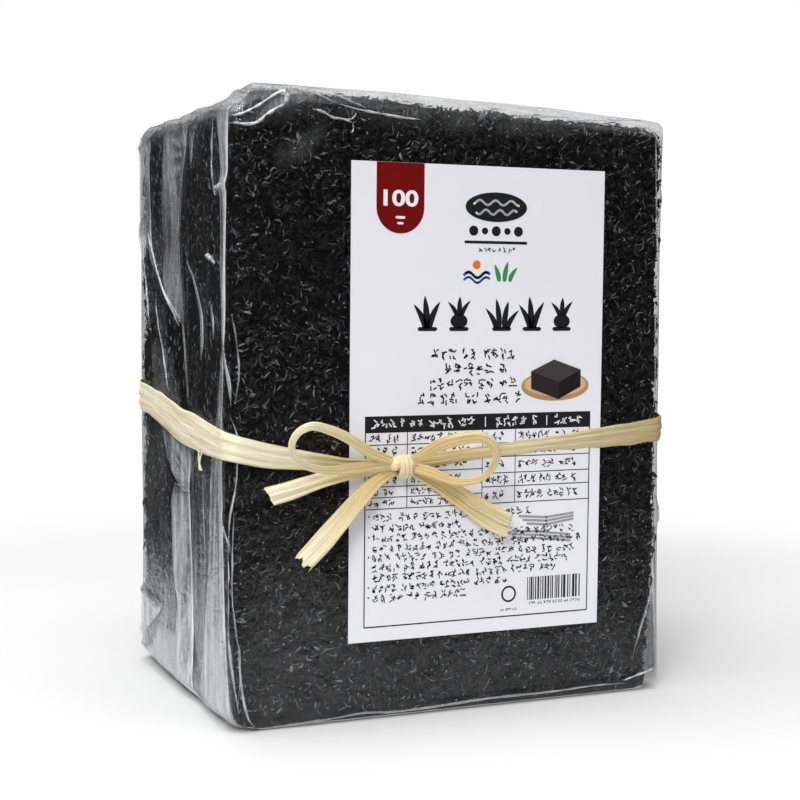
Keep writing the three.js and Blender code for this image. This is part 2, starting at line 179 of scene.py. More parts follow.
# Broad haze where the film stands loose, growing towards the base as a painted reflection of the floor: rows of
# (height, from y, to y, strength) on the left face
LEFT_HAZE = (
    ((192, -60, 60, 0.3), (189, -60, 60, 0.16), (185, -60, 60, 0.02)),
    ((118, 12, 38, 0.0), (112, 10, 36, 0.10), (100, 4, 30, 0.14), (94, 0, 24, 0.1)),
    ((96, 10, 57, 0.0), (84, 8, 57, 0.05), (56, 8, 57, 0.09), (34, 6, 57, 0.16), (20, 4, 57, 0.25), (2, 0, 57, 0.38)),
    ((60, -12, 12, 0.0), (44, -12, 12, 0.08), (20, -14, 12, 0.16), (2, -16, 12, 0.3)),
    ((88, -50, -8, 0.0), (74, -50, -8, 0.07), (40, -52, -9, 0.17), (22, -53, -10, 0.25), (2, -54, -14, 0.36)),
)
FRONT_HAZE = (  # rows of (x, from z, to z, strength)
    ((-77, 185, 192, 0.03), (-66, 186, 194, 0.03), (-45, 189, 195, 0.02), (-30, 186, 194, 0.04), (0, 186, 193, 0.05),
     (30, 186, 192, 0.04), (50, 188, 191, 0.02)),
    ((-77, -5, 40, 0.006), (-66, -5, 52, 0.01), (-50, -5, 50, 0.012), (-38, -5, 40, 0.01), (0, -5, 26, 0.01),
     (50, -5, 27, 0.008), (60, -5, 44, 0.006), (78, -5, 50, 0.004)),
    ((-60, 173, 178, 0.03), (-56, 174.6, 180, 0.045), (-51, 177, 184, 0.045), (-48, 181, 186, 0.03)),
    ((-76, 184.6, 187.2, 0.06), (-70, 184.8, 188.6, 0.1), (-66, 187, 191, 0.16), (-62.5, 189.6, 193.6, 0.34),
     (-60, 190.8, 195.2, 0.6), (-58.2, 191.4, 195.4, 0.3)),
)

# ------------------------------------------------------------------ raffia tie, close to the frame's

STRAW = 0.26  # thickness of the straw
WELD_REACH = 0.02  # points this close are one where the turn closes
BAND_STAND = 0.95  # from the film to the middle of the turn
# the turn round the pack: rows of (place along the side, height of the middle, width)
BAND_ROWS = {
    "front": ((-75, 87.8, 8.4), (-65, 85.2, 7.9), (-52, 83.1, 5.8), (-37, 81.3, 3.9), (-22, 81.0, 3.3),
              (-7, 82.1, 4.2), (15, 84.6, 4.0), (37, 86.2, 4.8), (59, 87.9, 7.1), (73, 89.4, 8.1)),
    "right": ((-50, 90.2, 8.3), (0, 92.4, 7.4), (50, 94.6, 7.2)),
    "rear": ((-68, 98.2, 8.0), (0, 96.6, 6.8), (70, 95.2, 7.2)),
    "left": ((-51, 88.4, 9.0), (-31, 89.2, 10.7), (-5, 91.0, 11.2), (24, 94.7, 10.4), (48, 97.3, 9.9)),
}
KNOT = np.array((-22.0, FRONT - 4.6, 81.2))
KNOT_HEART = np.array((5.2, 2.9, 2.7))  # half sizes of the straw inside the knot
BOW_FACES = np.array((-0.4, -0.915, 0.07))  # the way that the bow's strips turn their broad side
# strands of the bow: path as (x, distance before the pack, z), widths and turns from the knot outwards
STRANDS = {
    "bow_loop_left": {
        "path": ((-24, 5, 82.2), (-33.2, 8.5, 85.7), (-42.8, 12, 91.2), (-50.8, 14.5, 94.4), (-55.6, 15.5, 95.4),
                 (-59.4, 15.5, 94.0), (-61.2, 14.5, 91.2), (-61.2, 13.2, 88.1), (-59.2, 11.5, 85), (-55.2, 10, 82.4),
                 (-48, 9, 80.8), (-39.5, 8, 80.8), (-32, 7, 81.2), (-24, 5.5, 81.4)),
        "widths": (3.0, 3.6, 4.0, 3.4, 2.8, 2.5, 2.4, 2.6, 3.4, 4.2, 4.4, 3.6),
        "turns": (20, 34, 38, 34, 28, 30, 36, 38, 36, 30, 24), "cut": (0, 0),
    },
    "bow_loop_right": {
        "path": ((-20, 5, 81.8), (-15.4, 8, 84.6), (-11.5, 12, 87.8), (-6.8, 15, 89.6), (-1.9, 17, 90.2),
                 (1.9, 17.5, 89.1), (4.4, 17, 86.4), (5.2, 16, 83.4), (4.8, 14, 80.3), (2.9, 11.5, 77.2),
                 (-1.2, 9.5, 75.8), (-6.7, 8, 76.5), (-13.2, 6.5, 79.1), (-20, 5, 80.8)),
        "widths": (2.6, 4.0, 5.0, 4.8, 3.8, 2.7, 2.3, 2.2, 2.4, 3.0, 3.6, 2.6),
        "turns": (22, 32, 38, 34, 26, 24, 30, 36, 34, 30, 22), "cut": (0, 0),
    },
    "tie_tail_upper_left": {
        "path": ((-23, 3.4, 80.8), (-34.3, 3.7, 80.0), (-43.3, 4.2, 78.7), (-52.8, 5.4, 76.6), (-59.5, 6.6, 75.0),
                 (-66.2, 8.0, 73.6)),
        "widths": (2.8, 4.0, 4.8, 5.6, 6.2), "turns": (0, 8, 12, 12, 10), "cut": (-1.2, 0.25),
    },
    "tie_tail_lower_left": {
        "path": ((-23, 4, 80.2), (-30, 5, 76.8), (-36.3, 5.6, 71.4), (-42.6, 6, 65.1), (-49.2, 7, 58.7),
                 (-55.4, 8.2, 53.3)),
        "widths": (2.6, 4.6, 6.0, 6.6, 6.2), "turns": (0, 10, 14, 12, 8), "cut": (0.0, 1.5),
    },
    "tie_tail_right": {
        "path": ((-21, 3.8, 80.6), (-12.2, 3.8, 77.2), (-4, 3.9, 73.2), (4.4, 4.4, 68.2), (10.4, 5.2, 64.8),
                 (16.0, 6.2, 61.8)),
        "widths": (2.4, 3.2, 4.0, 4.4, 4.2), "turns": (0, 6, 12, 16, 18), "cut": (-1.5, 0.5),
    },
    "tie_tail_right_fold": {
        "path": ((-21, 3.2, 80.2), (-12.2, 2.8, 75.8), (-4, 2.8, 70.5), (4.4, 3.2, 64.4), (10.4, 4.0, 60.4),
                 (16.4, 5.0, 58.2)),
        "widths": (1.8, 2.4, 3.2, 4.0, 4.0), "turns": (0, -18, -30, -34, -30), "cut": (2.5, 0.6),
    },
}

# ------------------------------------------------------------------ camera

CAMERA_PLACE = (-215.2, -503.9, 135.3)
CAMERA_YAW, CAMERA_PITCH, CAMERA_ROLL = (math.radians(a) for a in (23.49, 4.0, 0.53))  # right, down, anticlockwise
CAMERA_LENS = 70.2


# ================================================================== settings

def colour_setting(name, description, default):
    return bpy.props.FloatVectorProperty(name=name, description=description, subtype="COLOR", size=3, min=0, max=1,
                                         default=default)


class NoriSettings(bpy.types.PropertyGroup):
    """Looks of the dried sheets."""
    colour: colour_setting("Sheet colour", "Colour of the dried laver", (0.0055, 0.0058, 0.0068))
    brown: colour_setting("Brown shreds", "Colour of the browner shreds", (0.026, 0.023, 0.014))
    # pale fibres, and the painted glints of the bright shreds and flecks
    fibre_and_glint: colour_setting("Fibre and glint colour", "Colour of the pale fibres and painted glints", (0.42, 0.43, 0.46))
    shreds: bpy.props.IntProperty(name="Shreds", description="Most shreds on one side of the block", min=500,
                                  max=11000, default=10500)
    seed: bpy.props.IntProperty(name="Seed", description="Start of the random draws", default=7)


class FilmSettings(bpy.types.PropertyGroup):
    """Looks of the clear film."""
    tint: colour_setting("Film tint", "Colour of what the film throws back", (0.9, 0.91, 0.94))
    haze: bpy.props.FloatProperty(name="Haze", description="How milky the film is where it is clearest", min=0, max=1,
                                  subtype="FACTOR", default=0.002)
    shine: bpy.props.FloatProperty(name="Shine", description="How much the film mirrors", min=0, max=4, default=1.15)
    wrinkle: bpy.props.FloatProperty(name="Wrinkle", description="Height of the fine wrinkles", min=0, max=0.003,
                                     unit="LENGTH", default=0.0005)


class LabelSettings(bpy.types.PropertyGroup):
    """Colours of the label and its print."""
    paper: colour_setting("Paper", "Colour of the paper", (0.80, 0.80, 0.845))
    ink: colour_setting("Ink", "Colour of the dark print", (0.012, 0.012, 0.014))
    tab: colour_setting("Tab", "Colour of the tab with the number", (0.150, 0.0015, 0.001))
    number: bpy.props.StringProperty(name="Number", description="Count of sheets on the tab", default="100")


class RaffiaSettings(bpy.types.PropertyGroup):
    """Colours of the straw."""
    pale: colour_setting("Pale straw", "Colour of the flat straw", (0.95, 0.88, 0.65))
    # golden near the knot: partly the straw's own colour, partly painted shade
    golden: colour_setting("Golden straw", "Colour near the knot", (0.80, 0.59, 0.24))
    stripe: colour_setting("Stripe", "Colour of the stripes along the straw", (0.70, 0.57, 0.31))
    # painted shade: the colour that darkens the straw towards the right
    shaded: colour_setting("Straw in painted shade", "Colour of the straw on the right", (0.42, 0.30, 0.11))
    # painted shade in the creases of the ribs
    crease: colour_setting("Crease", "Colour in the creases", (0.50, 0.36, 0.14))


class StageSettings(bpy.types.PropertyGroup):
    """Floor, light and background."""
    floor: colour_setting("Floor", "Colour of the floor", (0.69, 0.69, 0.69))
    radius: bpy.props.FloatProperty(name="Floor radius", description="Radius of the white floor", unit="LENGTH",
                                    min=0.3, max=5, default=0.5)


# ================================================================== helpers for numbers

def smooth(start, end, value):
    t = np.clip((value - start) / (end - start), 0, 1)
    return t * t * (3 - 2 * t)


def column(rows, key, index):
    """One column of a table of rows, read at a key between its rows."""
    rows = sorted(rows)
    return np.interp(key, [row[0] for row in rows], [row[index] for row in rows])


class Lattice:
    """Soft random values in space, the same on every run."""
    SIDE = 32

    def __init__(self, seed):
        self.values = np.random.default_rng(seed).uniform(-1, 1, (self.SIDE,) * 3)

    def __call__(self, x, y, z):
        cell = [np.floor(v).astype(int) for v in (x, y, z)]
        part = [v - np.floor(v) for v in (x, y, z)]
        part = [p * p * (3 - 2 * p) for p in part]
        total = 0.0
        for corner in range(8):
            step = [(corner >> k) & 1 for k in range(3)]
            weight = 1.0
            for k in range(3):
                weight = weight * (part[k] if step[k] else 1 - part[k])
            total = total + weight * self.values[tuple((cell[k] + step[k]) % self.SIDE for k in range(3))]
        return total


def distance_to_line(u, v, points):
    """Distance from each (u, v) to a line through the points."""
    best = np.full(u.shape, 1e9)
    for (u0, v0), (u1, v1) in zip(points, points[1:]):
        du, dv = u1 - u0, v1 - v0
        along = np.clip(((u - u0) * du + (v - v0) * dv) / (du * du + dv * dv), 0, 1)
        best = np.minimum(best, np.hypot(u - u0 - along * du, v - v0 - along * dv))
    return best


def smooth_path(points, count):
    """Evenly spaced places on a smooth curve through the points."""
    p = np.array(points, float)
    padded = np.vstack((2 * p[0] - p[1], p, 2 * p[-1] - p[-2]))
    fine = []
    for a, b, c, d in zip(padded, padded[1:], padded[2:], padded[3:]):
        t = np.linspace(0, 1, 24, endpoint=False)[:, None]
        fine.append(b + 0.5 * t * (c - a + t * (2 * a - 5 * b + 4 * c - d + t * (3 * (b - c) + d - a))))
    fine = np.vstack(fine + [p[-1:]])
    run = np.concatenate(([0], np.cumsum(np.linalg.norm(np.diff(fine, axis=0), axis=1))))
    even = np.linspace(0, run[-1], count)
    return np.stack([np.interp(even, run, fine[:, k]) for k in range(3)], axis=1)


def unit(vectors):
    return vectors / np.maximum(np.linalg.norm(vectors, axis=-1, keepdims=True), 1e-12)


# ================================================================== helpers for meshes

def deselect():
    if bpy.context.mode != "OBJECT":
        bpy.ops.object.mode_set(mode="OBJECT")
    bpy.ops.object.select_all(action="DESELECT")


def select_only(piece):
    deselect()
    piece.select_set(True)
    bpy.context.view_layer.objects.active = piece


def edit_mesh(piece, operator, **settings):
    """Runs an operator on the whole of a piece's mesh."""
    select_only(piece)
    bpy.ops.object.mode_set(mode="EDIT")
    bpy.ops.mesh.select_all(action="SELECT")
    operator(**settings)
    bpy.ops.object.mode_set(mode="OBJECT")


def start(name):
    piece = bpy.context.active_object
    piece.name = name
    piece.data.name = name
    return piece


def grid_piece(name, along, across):
    """A flat grid of `along` by `across` vertices, whose places are set afterwards."""
    deselect()
    bpy.ops.mesh.primitive_grid_add(x_subdivisions=along - 1, y_subdivisions=across - 1, size=2)
    return start(name)


def block_piece(name, cuts):
    """A cube of size 2 whose sides are cut into a fine grid."""
    deselect()
    bpy.ops.mesh.primitive_cube_add(size=2)
    piece = start(name)
    bpy.ops.object.mode_set(mode="EDIT")
    bpy.ops.mesh.select_all(action="SELECT")
    for number in cuts:
        bpy.ops.mesh.subdivide(number_cuts=number)
    bpy.ops.object.mode_set(mode="OBJECT")
    return piece


def read_points(piece):
    points = np.empty(len(piece.data.vertices) * 3)
    piece.data.vertices.foreach_get("co", points)
    return points.reshape(-1, 3)


def write_points(piece, points):
    """Places the vertices, given in millimetres."""
    piece.data.vertices.foreach_set("co", (points * MM).ravel())
    piece.data.update()


def read_normals(piece):
    normals = np.empty(len(piece.data.vertices) * 3)
    piece.data.vertices.foreach_get("normal", normals)
    return normals.reshape(-1, 3)


def write_values(piece, name, values):
    layer = piece.data.attributes.new(name, "FLOAT", "POINT")
    layer.data.foreach_set("value", np.asarray(values, float).ravel())


def apply(piece, kind, **settings):
    """Adds a modifier, sets it and applies it."""
    select_only(piece)
    modifier = piece.modifiers.new(kind.title(), kind)
    for key, value in settings.items():
        setattr(modifier, key, value)
    bpy.ops.object.modifier_apply(modifier=modifier.name)


def shade_smooth(piece):
    piece.data.polygons.foreach_set("use_smooth", [True] * len(piece.data.polygons))


def hand_over(piece, material, slot, *nodes):
    """Gives a finished piece its material and its place in the frame."""
    piece.data.materials.clear()
    piece.data.materials.append(material)
    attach(piece, BODY)
    if nodes:
        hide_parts(*nodes)
    return piece


def joined_mesh(name, points, faces):
    """One object from arrays of points, in millimetres, and faces."""
    mesh = bpy.data.meshes.new(name)
    mesh.from_pydata((points * MM).tolist(), [], faces.tolist())
    mesh.update()
    piece = bpy.data.objects.new(name, mesh)
    bpy.context.scene.collection.objects.link(piece)
    return piece


# ================================================================== helpers for materials

class Value:
    """A socket that takes part in arithmetic: each operation adds a Math node."""

    def __init__(self, finish, socket):
        self.finish = finish
        self.socket = socket

    def _math(self, operation, first, second):
        return self.finish.node("ShaderNodeMath", {"operation": operation}, {0: first, 1: second})

    def __add__(self, other):
        return self._math("ADD", self, other)

    def __mul__(self, other):
        return self._math("MULTIPLY", self, other)

    def __truediv__(self, other):
        return self._math("DIVIDE", self, other)


class Finish:
    """A material, its Principled shader and short ways to add nodes to it."""

    def __init__(self, name, tree=None):
        if tree is None:
            self.material = bpy.data.materials.new(name)
            self.material.use_nodes = True
            tree = self.material.node_tree
        self.tree = tree
        self.shader = tree.nodes.get("Principled BSDF")

    def node(self, kind, settings=None, inputs=None, output=0):
        made = self.tree.nodes.new(kind)
        for key, value in (settings or {}).items():
            setattr(made, key, value)
        for key, value in (inputs or {}).items():
            self.feed(made.inputs[key], value)
        return Value(self, made.outputs[output])

    def feed(self, socket, value):
        if isinstance(value, Value):
            self.tree.links.new(value.socket, socket)
        elif isinstance(value, (tuple, list)) and len(value) == 3 and socket.type == "RGBA":
            socket.default_value = (*value, 1)
        else:
            socket.default_value = value

    def set(self, **inputs):
        for key, value in inputs.items():
            self.feed(self.shader.inputs[key.replace("_", " ")], value)
        return self

    def place(self, scale=(1, 1, 1)):
        """Object coordinates in millimetres, scaled."""
        coordinates = self.node("ShaderNodeTexCoord", output="Object")
        stretch = tuple(s / MM for s in scale)
        return self.node("ShaderNodeMapping", None, {"Vector": coordinates, "Scale": stretch})

    def along_piece(self, scale):
        """The piece's own UV map, scaled."""
        coordinates = self.node("ShaderNodeTexCoord", output="UV")
        return self.node("ShaderNodeMapping", None, {"Vector": coordinates, "Scale": scale})

    def noise(self, vector, scale, detail=3.0, roughness=0.55, distortion=0.0):
        return self.node("ShaderNodeTexNoise", None, {"Vector": vector, "Scale": scale, "Detail": detail,
                                                      "Roughness": roughness, "Distortion": distortion})

    def cells(self, vector, scale):
        return self.node("ShaderNodeTexVoronoi", None, {"Vector": vector, "Scale": scale})

    def span(self, value, low, high, to_low=0.0, to_high=1.0):
        return self.node("ShaderNodeMapRange", {"interpolation_type": "SMOOTHSTEP"},
                         {"Value": value, "From Min": low, "From Max": high, "To Min": to_low, "To Max": to_high})

    def blend(self, share, first, second):
        return self.node("ShaderNodeMix", {"data_type": "RGBA"}, {0: share, 6: first, 7: second}, output=2)

    def attribute(self, name):
        return self.node("ShaderNodeAttribute", {"attribute_name": name}, output="Fac")

    def bump(self, height, distance, strength=1.0):
        return self.node("ShaderNodeBump", None, {"Height": height, "Distance": distance, "Strength": strength})


# ================================================================== form of the bag

def round_in(radius, distance):
    """How far a rounded edge is set back at a distance from its end."""
    inside = np.clip(radius - distance, 0, radius)
    return radius - np.sqrt(radius ** 2 - inside ** 2)


def faces_at(z):
    """Where the four faces stand at a height."""
    down = HEIGHT - z
    lean = SPREAD * np.cos(math.pi * z / HEIGHT) * np.where(z > HEIGHT / 2, 0.2, 1)
    return (
        LEFT + round_in(BASE_EDGE["left"], z) + round_in(TOP_EDGE["left"], down),
        RIGHT + lean - round_in(BASE_EDGE["right"], z) - round_in(TOP_EDGE["right"], down),
        FRONT + round_in(BASE_EDGE["front"], z) + round_in(TOP_EDGE["front"], down),
        REAR - round_in(BASE_EDGE["rear"], z) - round_in(TOP_EDGE["rear"], down),
    )


def rim_height(x, y):
    """Height of the film's rim above a place."""
    fall = SLOPE * np.clip((x - SLOPE_START) / (RIGHT - SLOPE_START), 0, 1) ** SLOPE_POWER
    corner = CORNER_DROP * (1 - smooth(LEFT, LEFT + CORNER_WIDTH, x))
    front_rim = HEIGHT - fall - corner
    return front_rim + (SIDE_RIM - front_rim) * smooth(FRONT + 2, FRONT + RIM_BLEND, y)


def denser_at_ends(t, share=0.6):
    return (1 - share) * t + share * np.sin(t * math.pi / 2)


def pack_form(cube, corner_scale=1.0):
    """Moves the points of a cube of size 2 onto the form of the bag, in millimetres."""
    a, b, c = (denser_at_ends(cube[:, k]) for k in range(3))
    level = HEIGHT * (0.5 + 0.5 * c)
    left, right, front, rear = faces_at(level)
    x = left + (right - left) * (0.5 + 0.5 * a)
    y = front + (rear - front) * (0.5 + 0.5 * b)
    radius_front = np.where(x < 0, CORNERS["front_left"], CORNERS["front_right"])
    radius_rear = np.where(x < 0, CORNERS["rear_left"], CORNERS["rear_right"])
    radius = np.where(y < 0, radius_front, radius_rear) * corner_scale
    core_x = np.clip(x, left + radius, right - radius)
    core_y = np.clip(y, front + radius, rear - radius)
    dx, dy = x - core_x, y - core_y
    reach = np.maximum(np.hypot(dx, dy), 1e-9)
    pull = np.maximum(np.abs(dx), np.abs(dy)) / reach
    x, y = core_x + dx * pull, core_y + dy * pull
    rim = rim_height(x, y)
    on_top = cube[:, 2] > 0.9999
    to_middle = smooth(0, 0.3, 1 - np.maximum(np.abs(a), np.abs(b)))
    top = rim + (MIDDLE_RIM - rim) * to_middle
    z = np.where(on_top, top, level * rim / HEIGHT)
    return np.stack((x, y, z), axis=1)


def gusset_dent(points, depth):
    """How far the creased sides are pushed in."""
    x, y, z = points.T
    crease = np.where(x < 0, column(LEFT_CREASE, z, 1), column(RIGHT_CREASE, z, 1))
    across = np.clip(1 - np.abs(y - crease) / GUSSET_HALF, 0, 1)
    on_side = smooth(0.93, 0.97, np.abs(x) / RIGHT)
    fade = smooth(0, 14, z) * (1 - 0.5 * smooth(HEIGHT - 20, HEIGHT, z))
    return -np.sign(x) * depth * across ** 1.4 * on_side * fade


# ================================================================== nori

STACK_INSET = 1.5  # the sheets stand this far inside the film
SIDE_CLEARANCE = 0.7  # and their slivers this far behind its left and right faces, apart from the rounded edges
# the room that the slivers are kept in before the creases and the rim are taken off it
ROOM_LOW, ROOM_HIGH = (LEFT + 0.5, FRONT + 0.4, 0.5), (RIGHT + 1.0, REAR - 0.9, HEIGHT)
# film beside the sheets on the right, by height
RIGHT_GAPS = ((0, 4.6), (12, 4.8), (21, 4.0), (31, 2.8), (46, 1.6), (90, 1.0), (170, 1.0), (188, 1.4))
# film above the sheets, by x
TOP_GAPS = ((-77, 0.9), (-69, 1.3), (-60, 1.6), (-30, 1.4), (0, 2.2), (40, 2.6), (74, 2.4))


def stack_form(cube):
    """The block of sheets: the bag's form drawn in, with tighter corners."""
    points = pack_form(cube, corner_scale=0.55)
    x, y, z = points.T
    middle = np.array(((LEFT + RIGHT) / 2, (FRONT + REAR) / 2))
    x = middle[0] + (x - middle[0]) * (1 - STACK_INSET / (RIGHT - middle[0]))
    y = middle[1] + (y - middle[1]) * (1 - STACK_INSET / (REAR - middle[1]))
    x = x - (column(RIGHT_GAPS, z, 1) - STACK_INSET) * smooth(50, RIGHT, x)
    z = 0.4 + z * (rim_height(x, y) - column(TOP_GAPS, x, 1) - 0.4) / rim_height(x, y)
    x = x + gusset_dent(np.stack((x, y, z), axis=1), GUSSET_DEPTH)
    return np.stack((x, y, z), axis=1)


def under_film(points, clearance=0.5):
    """Keeps points behind the bag's faces, its creases and its rim, and off the floor.

    The rounding of the upright edges isn't taken off, so a few slivers stand out there by up to 1.4 mm.
    """
    points = np.clip(points, ROOM_LOW, ROOM_HIGH)
    y, z = points[:, 1], points[:, 2]
    left, right = (face + gusset_dent(np.stack((face, y, z), axis=1), GUSSET_DEPTH) for face in faces_at(z)[:2])
    points[:, 0] = np.clip(points[:, 0], left + SIDE_CLEARANCE, right - SIDE_CLEARANCE)
    points[:, 2] = np.minimum(points[:, 2], rim_height(points[:, 0], points[:, 1]) - clearance)
    return points


def stack_relief(points, normals):
    """Roughness of the block: clumps and hollows all over, with ridges where the sheets' edges show."""
    x, y, z = points.T
    clumps, flakes, edges = Lattice(11), Lattice(12), Lattice(13)
    mat = 1.15 * clumps(x / 5.2, y / 5.2, z / 5.2) + 0.7 * flakes(x / 2.1, y / 2.1, z / 2.1)
    ridges = 0.6 * edges(x / 12, y / 1.3, z / 12)
    return mat + (1 - np.abs(normals[:, 1])) * ridges - 0.5


def nori_finish(settings):
    finish = Finish("nori sheets")
    place = finish.place()
    mottle = finish.noise(place, 0.22, detail=4)
    flecks = finish.cells(place, 0.75)
    weave = finish.noise(place, 1.6, detail=5, roughness=0.65, distortion=0.6)
    dark = tuple(c * 0.2 for c in settings.colour)
    colour = finish.blend(finish.span(mottle, 0.52, 0.72), dark, tuple(c * 0.2 for c in settings.brown))
    colour = finish.blend(finish.span(weave, 0.6, 0.8, 0, 0.25), colour, tuple(settings.colour))
    finish.shader.inputs["Specular IOR Level"].default_value = 0.12
    normal = finish.bump(weave * 0.6 + flecks * 0.5, 0.0008, 0.9)
    return finish.set(Base_Color=colour, Roughness=finish.span(weave, 0.3, 0.7, 0.45, 0.8), Normal=normal)


def shred_finish(settings):
    finish = Finish("nori shreds")
    tone = finish.attribute("tone")
    place = finish.place()
    grain = finish.noise(place, 2.4, detail=3)
    dark = finish.blend(finish.span(tone, 0.35, 0.8), (0.0006, 0.0006, 0.0008), tuple(settings.colour))
    brown = finish.blend(finish.span(tone, 0.68, 0.82), dark, tuple(settings.brown))
    # the palest tones take the fibre colour: real pale fibres, and painted glints on the bright shreds and flecks
    grey = finish.blend(finish.span(tone, 0.84, 1.0), brown, tuple(settings.fibre_and_glint))
    colour = finish.blend(grain * 0.5, grey, (0.0015, 0.0015, 0.002))
    normal = finish.bump(grain, 0.0003, 0.8)
    finish.shader.inputs["Specular IOR Level"].default_value = 0.32
    return finish.set(Base_Color=colour, Roughness=finish.span(tone, 0.3, 0.85, 0.6, 0.14), Normal=normal)


SHRED_STATIONS = (-0.5, 0.05, 0.55)
SHRED_POINTS = 2 + 3 * len(SHRED_STATIONS)


def shred_faces():
    """Triangles of one shred: a three-sided sliver, pointed at both ends."""
    faces = []
    last = SHRED_POINTS - 1
    rings = [1 + 3 * n for n in range(len(SHRED_STATIONS))]
    for k in range(3):
        after = (k + 1) % 3
        faces.append((0, rings[0] + after, rings[0] + k))
        faces.append((last, rings[-1] + k, rings[-1] + after))
        for here, there in zip(rings, rings[1:]):
            faces.append((here + k, here + after, there + after))
            faces.append((here + k, there + after, there + k))
    return np.array(faces)


def shreds(name, origins, along, out, length, width, tone, draws, curve=0.22, arch=0.25, thick=0.16):
    """Slivers as one mesh: each lies along a direction on the block, tips a little and bends a little."""
    count = len(origins)
    along = unit(along)
    side = unit(np.cross(out, along))
    bend = draws.normal(0, curve, count)
    lift = draws.uniform(-0.18, 0.34, count)
    places = []

    def station(t):
        centre = origins + along * (t * length / 2)[:, None]
        centre = centre + side * (bend * (t * t - 0.3) * length / 2)[:, None]
        return centre + out * ((arch * (1 - t * t) + lift * t) * np.minimum(length, 4) / 3)[:, None]

    places.append(station(-1.0))
    for t in SHRED_STATIONS:
        half = (width / 2 * (1 - abs(t) ** 2.2))[:, None]
        centre = station(t)
        places += [centre - side * half, centre + side * half, centre + out * thick]
    places.append(station(1.0))
    points = np.stack(places, axis=1).reshape(-1, 3)
    points = under_film(points)
    faces = (shred_faces()[None] + (np.arange(count) * SHRED_POINTS)[:, None, None]).reshape(-1, 3)
    piece = joined_mesh(name, points, faces)
    write_values(piece, "tone", np.repeat(tone, SHRED_POINTS))
    return piece


# the sides of the block that shreds lie on: fixed axis, outward sign, the two axes across it
SIDES = {
    "front": (1, -1, 0, 2),
    "rear": (1, 1, 0, 2),
    "left": (0, -1, 1, 2),
    "right": (0, 1, 1, 2),
    "top": (2, 1, 0, 1),
}


def stack_side(side, u, v):
    """Points on one side of the block, for u and v from -1 to 1."""
    axis, sign, first, second = SIDES[side]
    cube = np.empty((len(u), 3))
    cube[:, axis] = sign
    cube[:, first] = u
    cube[:, second] = v
    return stack_form(cube)


def even_out(t):
    """Undoes denser_at_ends, so that random places fall evenly."""
    table = np.linspace(-1, 1, 401)
    return np.interp(t, denser_at_ends(table), table)


def side_directions(side, count, draws, grain):
    """Directions in the plane of a side; grain is the share that follows the sheets' edges."""
    axis, sign, first, second = SIDES[side]
    angle = draws.uniform(0, 2 * math.pi, count)
    edge_axis = second if side in ("left", "right") else first
    along = np.zeros((count, 3))
    along[:, first] = np.cos(angle)
    along[:, second] = np.sin(angle)
    follow = draws.random(count) < grain
    along[follow] *= 0.35
    along[follow, edge_axis] += draws.choice((-1, 1), follow.sum())
    out = np.zeros((count, 3))
    out[:, axis] = sign
    return along, out


def clear_of_label(points):
    x, z = points[:, 0], points[:, 2]
    inside = (x > LABEL_LOW[0] + 4) & (x < LABEL_HIGH[0] - 4) & (z > LABEL_LOW[2] + 4) & (z < LABEL_HIGH[2] - 4)
    return ~inside


def scatter_side(side, wanted, draws, grain, fibres=False):
    """Shreds, or pale fibres, on one side: they sit on the clumps and in the hollows of the block."""
    u, v = (even_out(draws.uniform(-0.99, 0.99, wanted * 2)) for _ in range(2))
    origins = stack_side(side, u, v)
    if side == "front":
        origins = origins[clear_of_label(origins)]
    origins = origins[:wanted]
    count = len(origins)
    along, out = side_directions(side, count, draws, grain)
    relief = stack_relief(origins, out)
    clump = Lattice(14)(*(origins / 7).T) + 0.8 * Lattice(15)(*(origins / 17).T)
    if fibres:  # fine hairs, with small bright flecks among them
        # the small pale flecks are painted glints
        painted_glint = draws.random(count) < 0.4
        length = np.where(painted_glint, draws.uniform(0.5, 1.1, count), draws.uniform(1.6, 4.6, count))
        width = np.where(painted_glint, draws.uniform(0.35, 0.7, count), draws.uniform(0.12, 0.24, count))
        tone = draws.uniform(0.9, 1.0, count)
        depth = relief + draws.uniform(0.4, 0.9, count)
        name = f"nori_fibres_{side}"
    else:
        length = 1.4 + 2.8 * draws.random(count) ** 1.6
        width = draws.uniform(0.5, 1.4, count) * np.clip(length / 2.6, 0.6, 1.2)
        # tone rises with the relief, so shreds in the hollows are darker: painted shade, over a random tone
        tone = np.clip(0.42 + 0.26 * clump + 0.24 * relief + draws.normal(0, 0.17, count), 0, 0.86)
        depth = relief + draws.uniform(-0.35, 0.45, count)
        # a share of small shreds made pale and glossy: painted glints, together with a real sharper gloss
        bright = draws.random(count) < (0.24 if side == "left" else 0.18) + 0.16 * clump
        tone[bright] = draws.uniform(0.84, 0.99, bright.sum())
        width[bright] *= draws.choice((0.3, 0.45, 1.0), bright.sum(), p=(0.6, 0.33, 0.07))
        length[bright] *= 0.75
        depth[bright] += 0.3
        name = f"nori_shreds_{side}"
    return shreds(name, origins + out * depth[:, None], along, out, length, width, tone, draws,
                  curve=0.6 if fibres else 0.22, thick=0.1 if fibres else 0.22)


# ================================================================== film

def fold_height(u, v, folds):
    """Height of the ridges of a set of folds at places on a face."""
    height = np.zeros(u.shape)
    for width, rise, _, points in folds:
        away = distance_to_line(u, v, points)
        height = np.maximum(height, rise * np.exp(-(away / (width + 0.5)) ** 2))
    return height


def haze_field(along, across, tables, edge=3.0):
    """Strength of the haze: stretches from one side to another, read along a face."""
    total = np.zeros(along.shape)
    for rows in tables:
        keys = [row[0] for row in rows]
        inside = smooth(min(keys) - 4, min(keys), along) * (1 - smooth(max(keys), max(keys) + 4, along))
        one, other, strength = (column(rows, along, k) for k in (1, 2, 3))
        low, high = np.minimum(one, other), np.maximum(one, other)
        band = smooth(low - edge, low + edge, across) * (1 - smooth(high - edge, high + edge, across))
        total = np.maximum(total, strength * band * inside)
    return total


